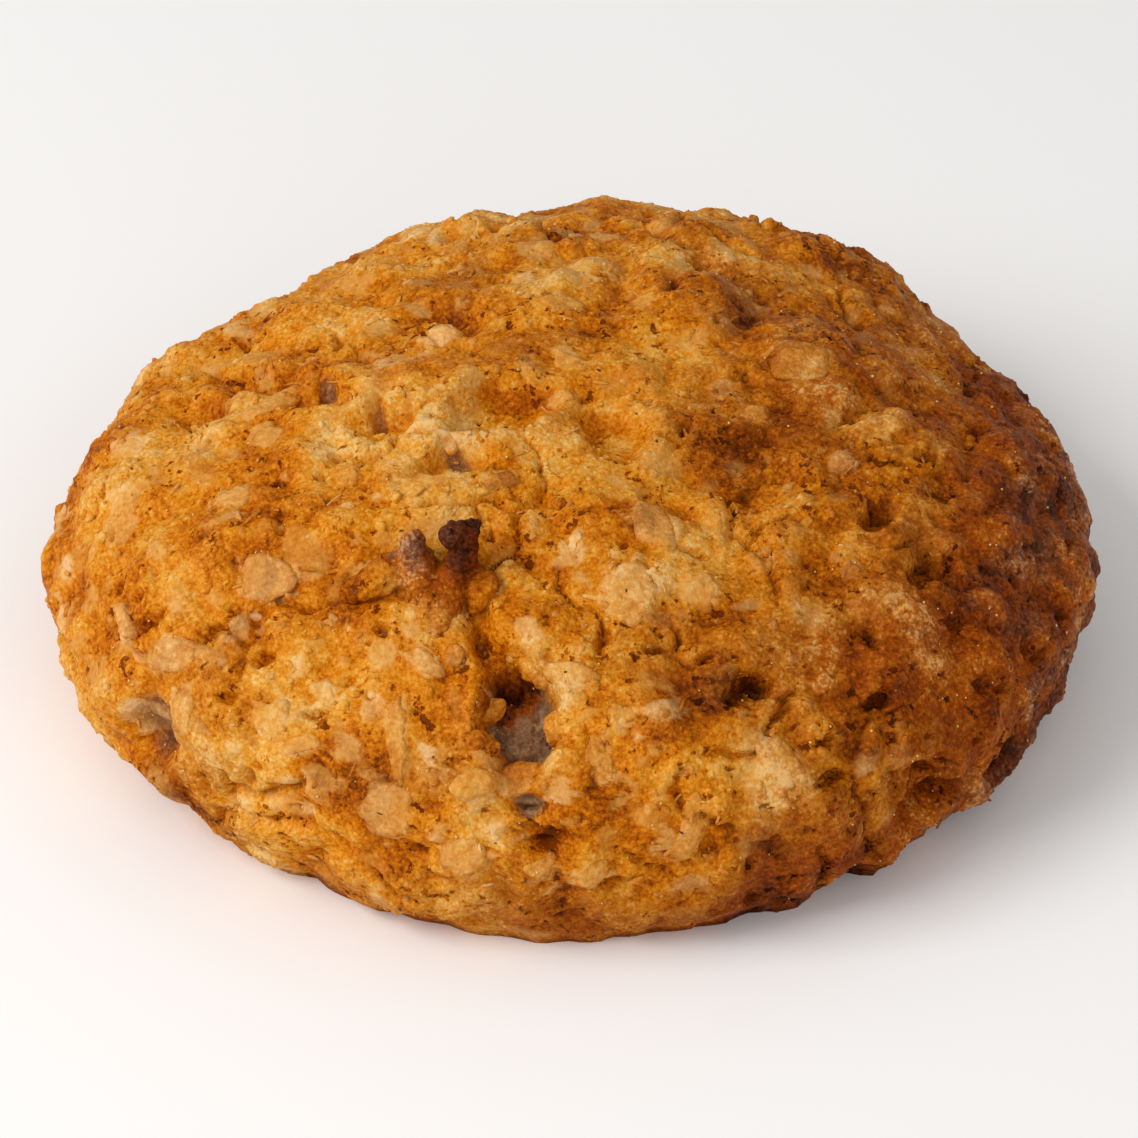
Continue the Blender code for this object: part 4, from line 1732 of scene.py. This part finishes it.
@dataclass
class BranSpecks(SmallPieces):
    """Scorched specks of bran, 0.2 to 0.5 mm long."""

    count: int = 60
    halves: tuple[tuple[float, float], ...] = ((0.10, 0.24), (0.06, 0.13), (0.04, 0.09))
    """Half of a speck's length, width and thickness at least and at most, in millimetres."""
    proud: float = 0.05 * MM

    def build(self) -> bpy.types.Object:
        """Makes the specks.

        Returns:
            The specks, joined.
        """
        self.scatter(self.count, np.where(self.points[:, 2] < BOTTOM_EDGE, 0.0, 1.0))
        sizes = np.stack([self.draw.uniform(*half, self.count) for half in self.halves], axis=1) * MM
        normals = self.here(self.normals)
        shape = bmesh.new()
        bmesh.ops.create_icosphere(shape, subdivisions=1, radius=1.0)
        places = self.here(self.points) + normals * self.proud
        points = self.shaped(shape, places, self.axes(normals, 0.3), sizes, 0.2)
        return self.joined("bran_specks", shape, points, {})


@dataclass
class OatChips(SmallPieces):
    """Broken rolled oats pressed into the dough: each follows its surface and stands a little proud."""

    count: int = 320
    lengths: tuple[float, float] = (0.5 * MM, 1.8 * MM)
    widths: tuple[float, float] = (0.4, 0.95)
    """Against the length."""
    heights: tuple[float, float] = (-0.15, 0.40)
    """In millimetres."""
    spread_segments: tuple[int, int] = (12, 5)
    seen_segments: tuple[int, int] = (28, 9)
    harmonics: tuple[tuple[int, float], ...] = ((2, 0.10), (3, 0.14), (4, 0.06), (5, 0.05), (7, 0.04))
    """Of a chip's outline: how many times round, and how strong at most."""
    outline_limits: tuple[float, float] = (0.5, 1.5)
    rise: float = 0.2
    """How much of its height a chip stands above the dough's own swelling."""
    rim_starts: float = 0.5
    """How far out, as a share of its reach, a chip starts to sink into the dough."""
    stiffness: float = 0.2
    """How flat a chip stays where the dough under it isn't."""
    bend: float = 0.6 * MM
    """How far up or down a chip follows the dough at most."""
    bump_size: float = 0.8 * MM
    bump_height: float = 0.16 * MM
    sunk: float = 0.35 * MM
    probe: float = 3 * MM

    def _outlines(self, turn: np.ndarray, count: int, ragged: float) -> np.ndarray:
        """Draws an uneven outline for each chip.

        Args:
            turn: the angle round the chip of each of its corners.
            count: how many chips.
            ragged: how uneven they are, against the harmonics' own strengths.

        Returns:
            How far each corner of each chip is moved out, against 1.
        """
        outline = np.ones((count, len(turn)))
        for times, strength in self.harmonics:
            height = self.draw.normal(0, strength * ragged, (count, 1))
            outline += height * np.cos(times * turn[None] + self.draw.uniform(0, TURN, (count, 1)))
        return np.clip(outline, *self.outline_limits)

    def _draped(self, surface: BVHTree, plane: np.ndarray, axes: np.ndarray, flat: np.ndarray) -> np.ndarray:
        """Lets chips follow the dough, as far as their stiffness lets them.

        Args:
            surface: the dough.
            plane: the corners of each chip while it is flat.
            axes: each chip's length, width and way out.
            flat: the corners along each chip's length and width.

        Returns:
            How far each corner goes along its chip's way out.
        """
        heights = np.zeros(plane.shape[:2])
        for chip, corners in enumerate(plane):
            out = Vector(axes[chip, 2])
            for corner, place in enumerate(corners):
                start = Vector(place) + out * self.probe
                hit = surface.ray_cast(start, -out, 2 * self.probe)[0]
                heights[chip, corner] = self.probe - (start - hit).length if hit else 0.0
        middle = np.median(heights, axis=1, keepdims=True)
        sloped = middle + np.zeros_like(heights)
        for side in range(2):
            along = flat[..., side]
            slope = (along * (heights - middle)).sum(axis=1) / (along ** 2).sum(axis=1)
            sloped = sloped + along * slope[:, None]
        heights = np.clip(heights, middle - self.bend, middle + self.bend)
        return heights + (sloped - heights) * self.stiffness

    def _laid(self, name: str, segments: tuple[int, int], surface: BVHTree, places: np.ndarray,
              axes: np.ndarray, forms: Sequence[Seen], bakes: np.ndarray, ragged: float) -> bpy.types.Object:
        """Lays chips over the dough.

        Args:
            name: the piece's name.
            segments: of the ball that each chip is made from.
            surface: the dough.
            places: each chip's middle.
            axes: each chip's length, width and way out.
            forms: each chip's sizes and tint.
            bakes: how baked each is, with the painted shade that the browning carries.
            ragged: how uneven the outlines are, against the harmonics' own strengths.

        Returns:
            The chips, joined.
        """
        shape = bmesh.new()
        bmesh.ops.create_uvsphere(shape, u_segments=segments[0], v_segments=segments[1], radius=1.0)
        ball = np.array([vert.co for vert in shape.verts])
        turn = np.arctan2(ball[:, 1], ball[:, 0])
        top = ball[:, 2] > 0
        rings = 1 - np.abs(np.arcsin(np.clip(ball[:, 2], -1, 1))) / (math.pi / 2)
        count = len(places)
        spread = rings[None] * self._outlines(turn, count, ragged)
        half = np.array([(form.length / 2, form.width / 2) for form in forms])
        flat = np.stack((spread * np.cos(turn), spread * np.sin(turn)), axis=2) * half[:, None]
        plane = places[:, None] + np.einsum("nvi,nij->nvj", flat, axes[:, :2])
        heights = self._draped(surface, plane, axes, flat)
        thick = self.rise * np.array([form.height for form in forms])[:, None]
        tilt = 1 + 0.5 * np.array([form.tilt for form in forms])[:, None] * spread * np.sin(turn)
        inner = 1 - np.clip((rings - self.rim_starts) / (1 - self.rim_starts), 0, 1) ** 2
        bumps = np.array([noise.noise(Vector(point) / self.bump_size) for point in plane.reshape(-1, 3)])
        bumps = bumps.reshape(heights.shape)
        rise = np.where(top, thick * (1.4 * inner - 0.4) * tilt, -self.sunk) + self.bump_height * bumps * top
        points = plane + (heights + rise)[..., None] * axes[:, None, 2]
        shown = np.clip(1.25 * inner + 0.9 * bumps, 0, 1) * self.draw.uniform(0.45, 0.9, (count, 1))
        own = {
            "bake_and_shade": bakes, "far": np.full(count, 0.5), "tint": np.array([form.tint for form in forms]),
            "tone": np.clip(self.draw.normal(0.5, 0.04, count), 0, 1),
            # near follows the chip's bumps: painted shade, darker in their hollows and lighter on their tops
            "near": 0.5 + 0.25 * bumps, "oat": np.where(top, shown, 0.2 * shown),
        }
        made = self.joined(name, shape, points, own)
        made.data.shade_smooth()
        return made

    def build_seen(self, view: PhotoCamera, surface: BVHTree) -> bpy.types.Object:
        """Makes the chips that the photograph shows.

        Args:
            view: the camera that sees them.
            surface: the dough.

        Returns:
            The chips, joined.
        """
        places, axes, bakes = [], [], []
        for seen in OATS_SEEN:
            hit, face = view.spot(surface, seen.across, seen.down)
            corner = self.corners[face][0]
            out = Vector(self.ways_out[corner])
            along = Matrix.Rotation(math.radians(seen.turn), 3, out) @ view.level_on(out)
            places.append(hit)
            axes.append((along, out.cross(along), out))
            bakes.append(self.dough.grades["bake_and_shade"][corner])
        return self._laid("seen_oats", self.seen_segments, surface, np.array(places), np.array(axes),
                          OATS_SEEN, np.array(bakes), 0.8)

    def build_spread(self, surface: BVHTree) -> bpy.types.Object:
        """Makes the others, all over the cookie.

        Args:
            surface: the dough.

        Returns:
            The chips, joined.
        """
        grades, count = self.dough.grades, self.count
        bare = (self.points[:, 2] > CHIPS_LOWEST) * (1 - grades["clear"]) * (grades["moist"] < 0.05)
        self.scatter(count, bare * (1 - 0.7 * grades["oat"]))
        low, high = self.lengths
        lengths = low + (high - low) * self.draw.random(count) ** 2.0
        widths = self.draw.uniform(*self.widths, count)
        heights = self.draw.uniform(*self.heights, count) * MM
        tints = self.draw.random(count) ** 1.3
        tilts = self.draw.uniform(0, 1, count)
        forms = [
            Seen(0, 0, length, length * share, 0, height, tint, tilt)
            for length, share, height, tint, tilt in zip(lengths, widths, heights, tints, tilts)
        ]
        axes = self.axes(self.here(self.ways_out), 0.08)
        return self._laid("oat_chips", self.spread_segments, surface, self.here(self.points), axes, forms,
                          self.grade("bake_and_shade", 0.06), 1.0)


@dataclass
class Slivers(SmallPieces):
    """Splinters and fibres of oat, 0.6 to 2.4 mm long and thin."""

    count: int = 500
    halves: tuple[float, float] = (0.3, 1.2)
    """Half of a splinter's length, in millimetres."""
    half_widths: tuple[float, float] = (0.10, 0.24)
    half_thicknesses: tuple[float, float] = (0.08, 0.16)
    lifts: tuple[float, float] = (-0.08, 0.03)

    def build(self) -> bpy.types.Object:
        """Makes the slivers.

        Returns:
            The slivers, joined.
        """
        count = self.count
        self.scatter(count, (self.points[:, 2] > BOTTOM_EDGE) * (1 - self.dough.grades["clear"]))
        length = self.halves[0] + (self.halves[1] - self.halves[0]) * self.draw.random(count) ** 1.8
        sizes = np.stack((length, self.draw.uniform(*self.half_widths, count),
                          self.draw.uniform(*self.half_thicknesses, count)), axis=1) * MM
        normals = self.here(self.ways_out)
        shape = bmesh.new()
        bmesh.ops.create_uvsphere(shape, u_segments=6, v_segments=6, radius=1.0)
        places = self.here(self.points) + normals * self.draw.uniform(*self.lifts, (count, 1)) * MM
        points = self.shaped(shape, places, self.axes(normals, 0.12), sizes, 0.12)
        own = {
            "bake_and_shade": self.grade("bake_and_shade"), "far": self.grade("far"), "tint": self.draw.random(count) ** 1.5,
            "tone": np.clip(self.draw.normal(0.52, 0.06, count), 0, 1), "near": np.full(count, 0.55),
            "oat": self.draw.uniform(0.3, 0.9, count),
        }
        made = self.joined("oat_slivers", shape, points, own)
        made.data.shade_smooth()
        return made


@dataclass(frozen=True)
class Lump:
    """One round of a clump of dough, placed by the pixel that its middle is seen at."""

    across: float
    down: float
    lift: float
    """How far it stands off the dough, towards the camera."""
    length: float
    width: float
    turn: float = 90.0
    """Degrees of its length from level, counterclockwise as seen."""
    toast: float = 0.3
    # mauve: mauve-brown toasting, partly a painted highlight on the horns, which browns a lump and lightens
    # it
    mauve: float = 0.0
    pale: float = 0.0


TOASTED_CLUMP = (
    Lump(436, 594, 0.0 * MM, 6.2 * MM, 4.6 * MM, 0, 0.26),
    Lump(424, 624, 0.0 * MM, 4.8 * MM, 1.4 * MM, 82, 0.16),
    Lump(440, 620, 0.0 * MM, 4.4 * MM, 1.5 * MM, 78, 0.18),
    Lump(373, 583, 1.1 * MM, 5.0 * MM, 2.3 * MM, 26, 0.06),
    Lump(390, 573, 1.2 * MM, 4.0 * MM, 2.3 * MM, 10, 0.15),
    Lump(392, 560, 1.5 * MM, 3.0 * MM, 1.3 * MM, 22, 0.75),
    Lump(418, 568, 1.6 * MM, 5.0 * MM, 2.4 * MM, 98, 0.45, 0.45),
    Lump(413, 548, 2.4 * MM, 2.4 * MM, 1.9 * MM, 100, 0.60, 0.45),
    Lump(425, 584, 1.1 * MM, 4.0 * MM, 2.4 * MM, 100, 0.40, 0.40),
    Lump(443, 588, 1.0 * MM, 4.6 * MM, 2.2 * MM, 58, 0.60),
    Lump(458, 566, 1.8 * MM, 5.0 * MM, 2.3 * MM, 68, 0.70),
    Lump(467, 547, 2.6 * MM, 4.2 * MM, 1.7 * MM, 78, 0.80),
    Lump(463, 530, 3.3 * MM, 2.6 * MM, 1.2 * MM, -10, 0.86),
    Lump(451, 536, 3.4 * MM, 1.7 * MM, 1.5 * MM, 100, 0.68, 0.3),
    Lump(474, 529, 3.2 * MM, 1.5 * MM, 0.9 * MM, 60, 0.90),
    Lump(475, 582, 0.9 * MM, 4.2 * MM, 2.0 * MM, 108, 0.32),
    Lump(483, 592, 0.6 * MM, 3.4 * MM, 2.0 * MM, 60, 0.12),
    Lump(464, 607, 0.2 * MM, 4.2 * MM, 2.2 * MM, 100, 0.32),
    Lump(450, 604, 0.5 * MM, 4.2 * MM, 1.8 * MM, 80, 0.45),
)
# The small clump above the hollow: a dark curled horn, a blunt mauve one, a stub and their foot. A lump's
# mauve is partly a painted highlight.
"""The small clump above the hollow: a dark curled horn, a blunt mauve one, a stub and their foot."""
HOLLOW_CRUMBS = (
    # tongues on its left wall
    Lump(485, 716, -0.4 * MM, 3.6 * MM, 1.7 * MM, 32, 0.02, 0.0, 0.3),
    Lump(477, 745, -0.4 * MM, 3.2 * MM, 2.0 * MM, -22, 0.08, 0.0, 0.2),
    # its upper right edge, and the cream crumb that narrows it on the right
    Lump(536, 672, -0.1 * MM, 3.4 * MM, 1.7 * MM, -38, 0.05, 0.0, 0.1),
    Lump(560, 729, -0.5 * MM, 2.6 * MM, 2.3 * MM, 75, -0.05, 0.0, 0.3),
    # the beige facet and the chip with straight edges below it
    Lump(522, 779, -0.4 * MM, 4.0 * MM, 2.2 * MM, 4, -0.05, 0.0, 0.5),
    Lump(474, 784, 0.1 * MM, 3.4 * MM, 2.2 * MM, 12, -0.25, 0.0, 0.9),
)


@dataclass
class Clump:
    """Lumps of dough fused into one piece, where the photograph shows them."""

    view: PhotoCamera
    """The camera that the lumps are placed by."""
    surface: BVHTree
    """The dough that they stand on."""
    voxel: float = 0.13 * MM
    easing: int = 6
    sunk: float = 0.2
    """How far a lump's middle lies behind its place, against its width."""
    ridges: tuple[tuple[float, float], ...] = ((1.0 * MM, 0.32 * MM), (0.42 * MM, 0.20 * MM))
    """How wide and how high the roughness is."""
    softness: float = 0.1
    """How far the lumps' colours run into each other, against their widths."""
    least_bake: float = 0.30
    toast_bakes: float = 0.95
    # How mauve browns and lightens a lump; the lightening is partly a painted highlight.
    mauve_bakes: float = 0.60
    mauve_and_highlight_lightens: float = 0.42
    toast_darkens: float = 0.10

    def _fused(self, name: str, mesh: bmesh.types.BMesh) -> bpy.types.Object:
        """Makes one skin of lumps that run into each other.

        Args:
            name: the piece's name.
            mesh: the lumps, which are used up.

        Returns:
            The piece, with no modifier left on it.
        """
        clump = placed(name, mesh_of(name, mesh))
        fused = clump.modifiers.new("Fused lumps", "REMESH")
        fused.mode = "VOXEL"
        fused.voxel_size = self.voxel
        eased = clump.modifiers.new("Eased joins", "SMOOTH")
        eased.iterations = self.easing
        graph = bpy.context.evaluated_depsgraph_get()
        data = bpy.data.meshes.new_from_object(clump.evaluated_get(graph))
        clump.modifiers.clear()
        clump.data = data
        return clump

    def build(self, name: str, lumps: Sequence[Lump], rough: float = 1.0) -> bpy.types.Object:
        """Makes a clump: its lumps fused, roughened and given their toasting.

        Args:
            name: the piece's name.
            lumps: the lumps.
            rough: how rough it is, against the ridges' own heights.

        Returns:
            The clump.
        """
        mesh = bmesh.new()
        places = []
        axes = Matrix((self.view.right, self.view.up, self.view.back)).transposed().to_4x4()
        for lump in lumps:
            hit, _ = self.view.spot(self.surface, lump.across, lump.down)
            place = Matrix.Translation(hit + self.view.back * (lump.lift - lump.width * self.sunk)) @ axes
            place = place @ Matrix.Rotation(math.radians(lump.turn), 4, "Z")
            size = Matrix.Diagonal((lump.length / 2, lump.width / 2, lump.width / 2, 1))
            bmesh.ops.create_icosphere(mesh, subdivisions=3, radius=1.0, matrix=place @ size)
            places.append((hit + self.view.back * lump.lift, lump))
        clump = self._fused(name, mesh)
        data = clump.data
        for vert in data.vertices:
            ridge = sum(noise.noise(vert.co / size) * height for size, height in self.ridges)
            vert.co += vert.normal * ridge * rough
        kinds = np.array([(lump.toast, lump.mauve, lump.pale) for lump in lumps])
        toast, mauve, pale = np.empty((3, len(data.vertices)))
        for vert in data.vertices:
            gaps = np.array([(place - vert.co).length / lump.width for place, lump in places])
            pulls = 1 / (gaps + self.softness) ** 4
            toast[vert.index], mauve[vert.index], pale[vert.index] = pulls @ kinds / pulls.sum()
        middle = np.full(len(toast), 0.5)
        add_attributes(data, {
            "bake_and_shade": self.least_bake + self.toast_bakes * toast + self.mauve_bakes * mauve,
            "tone": middle + self.mauve_and_highlight_lightens * mauve - self.toast_darkens * toast,
            "near": middle, "far": middle + 0.1, "tint": middle, "oat": pale, "moist": 0 * middle,
        })
        data.shade_smooth()
        return clump


@dataclass(frozen=True)
class Lamp:
    """A soft square lamp that faces the cookie."""

    name: str
    place: tuple[float, float, float]
    size: float
    watts: float

    def build(self) -> None:
        """Makes the lamp."""
        light = bpy.data.lights.new(self.name, "AREA")
        light.size = self.size
        light.energy = self.watts
        holder = placed(self.name, light)
        holder.location = self.place
        holder.rotation_euler = Vector(self.place).to_track_quat("Z", "Y").to_euler()


@dataclass(frozen=True)
class Studio:
    """A plain pale floor and soft light from the upper left."""

    floor_side: float = 3.0
    floor_colour: str = "#F4F2F0"
    room_colour: str = "#FFFFFF"
    room_light: float = 0.54
    lamps: tuple[Lamp, ...] = (
        Lamp("key", (-0.42, -0.16, 0.38), 0.36, 2.45),
        Lamp("fill", (0.20, -0.46, 0.30), 0.40, 0.6),
    )

    def build(self) -> None:
        """Makes the floor, the lamps and the world."""
        mesh = bmesh.new()
        bmesh.ops.create_grid(mesh, x_segments=1, y_segments=1, size=self.floor_side / 2)
        floor = placed("floor", mesh_of("floor", mesh))
        floor.data.materials.append(PlainFinish("pale matt board", self.floor_colour, 0.9).material())
        for lamp in self.lamps:
            lamp.build()
        world = bpy.data.worlds.new("room")
        world.use_nodes = True
        background = world.node_tree.nodes["Background"]
        background.inputs["Color"].default_value = linear(self.room_colour)
        background.inputs["Strength"].default_value = self.room_light
        bpy.context.scene.world = world
        bpy.context.scene.view_settings.view_transform = "Standard"


CHIPS_SEED = 31
SLIVERS_SEED = 37
SUGAR_SEED = 41
BRAN_SEED = 43


def main() -> None:
    """Builds the camera, the studio and the cookie, piece by piece."""
    logging.basicConfig(level=logging.INFO, format="%(name)s: %(message)s")
    view = PhotoCamera()
    view.build()
    Studio().build()
    baked = Dough(view)
    dough = baked.build()
    crumb = BakedDough().material()
    dough.data.materials.append(crumb)
    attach(dough, BODY)
    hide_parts(NODE)
    surface = tree_of(dough)
    chips = OatChips(baked, dough, CHIPS_SEED)
    crumbs = [
        chips.build_seen(view, surface),
        chips.build_spread(surface),
        Slivers(baked, dough, SLIVERS_SEED).build(),
        Clump(view, surface).build("toasted_clump", TOASTED_CLUMP),
        Clump(view, surface).build("hollow_crumbs", HOLLOW_CRUMBS, rough=0.8),
    ]
    covered = tree_of(dough, *crumbs)
    crumbs += [Grains(baked, dough, kind.seed).build(kind, covered) for kind in GRAIN_KINDS]
    small = [(piece, crumb) for piece in crumbs]
    small.append((SugarGrains(baked, dough, SUGAR_SEED).build(), SUGAR_CRYSTAL.material()))
    small.append((BranSpecks(baked, dough, BRAN_SEED).build(), SCORCHED_BRAN.material()))
    for piece, material in small:
        piece.data.materials.append(material)
        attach(piece, BODY)
    for piece in (dough, *(piece for piece, _ in small)):
        LOG.info("%s: %d triangles", piece.name, sum(len(face.vertices) - 2 for face in piece.data.polygons))


if __name__ == "__main__":
    main()
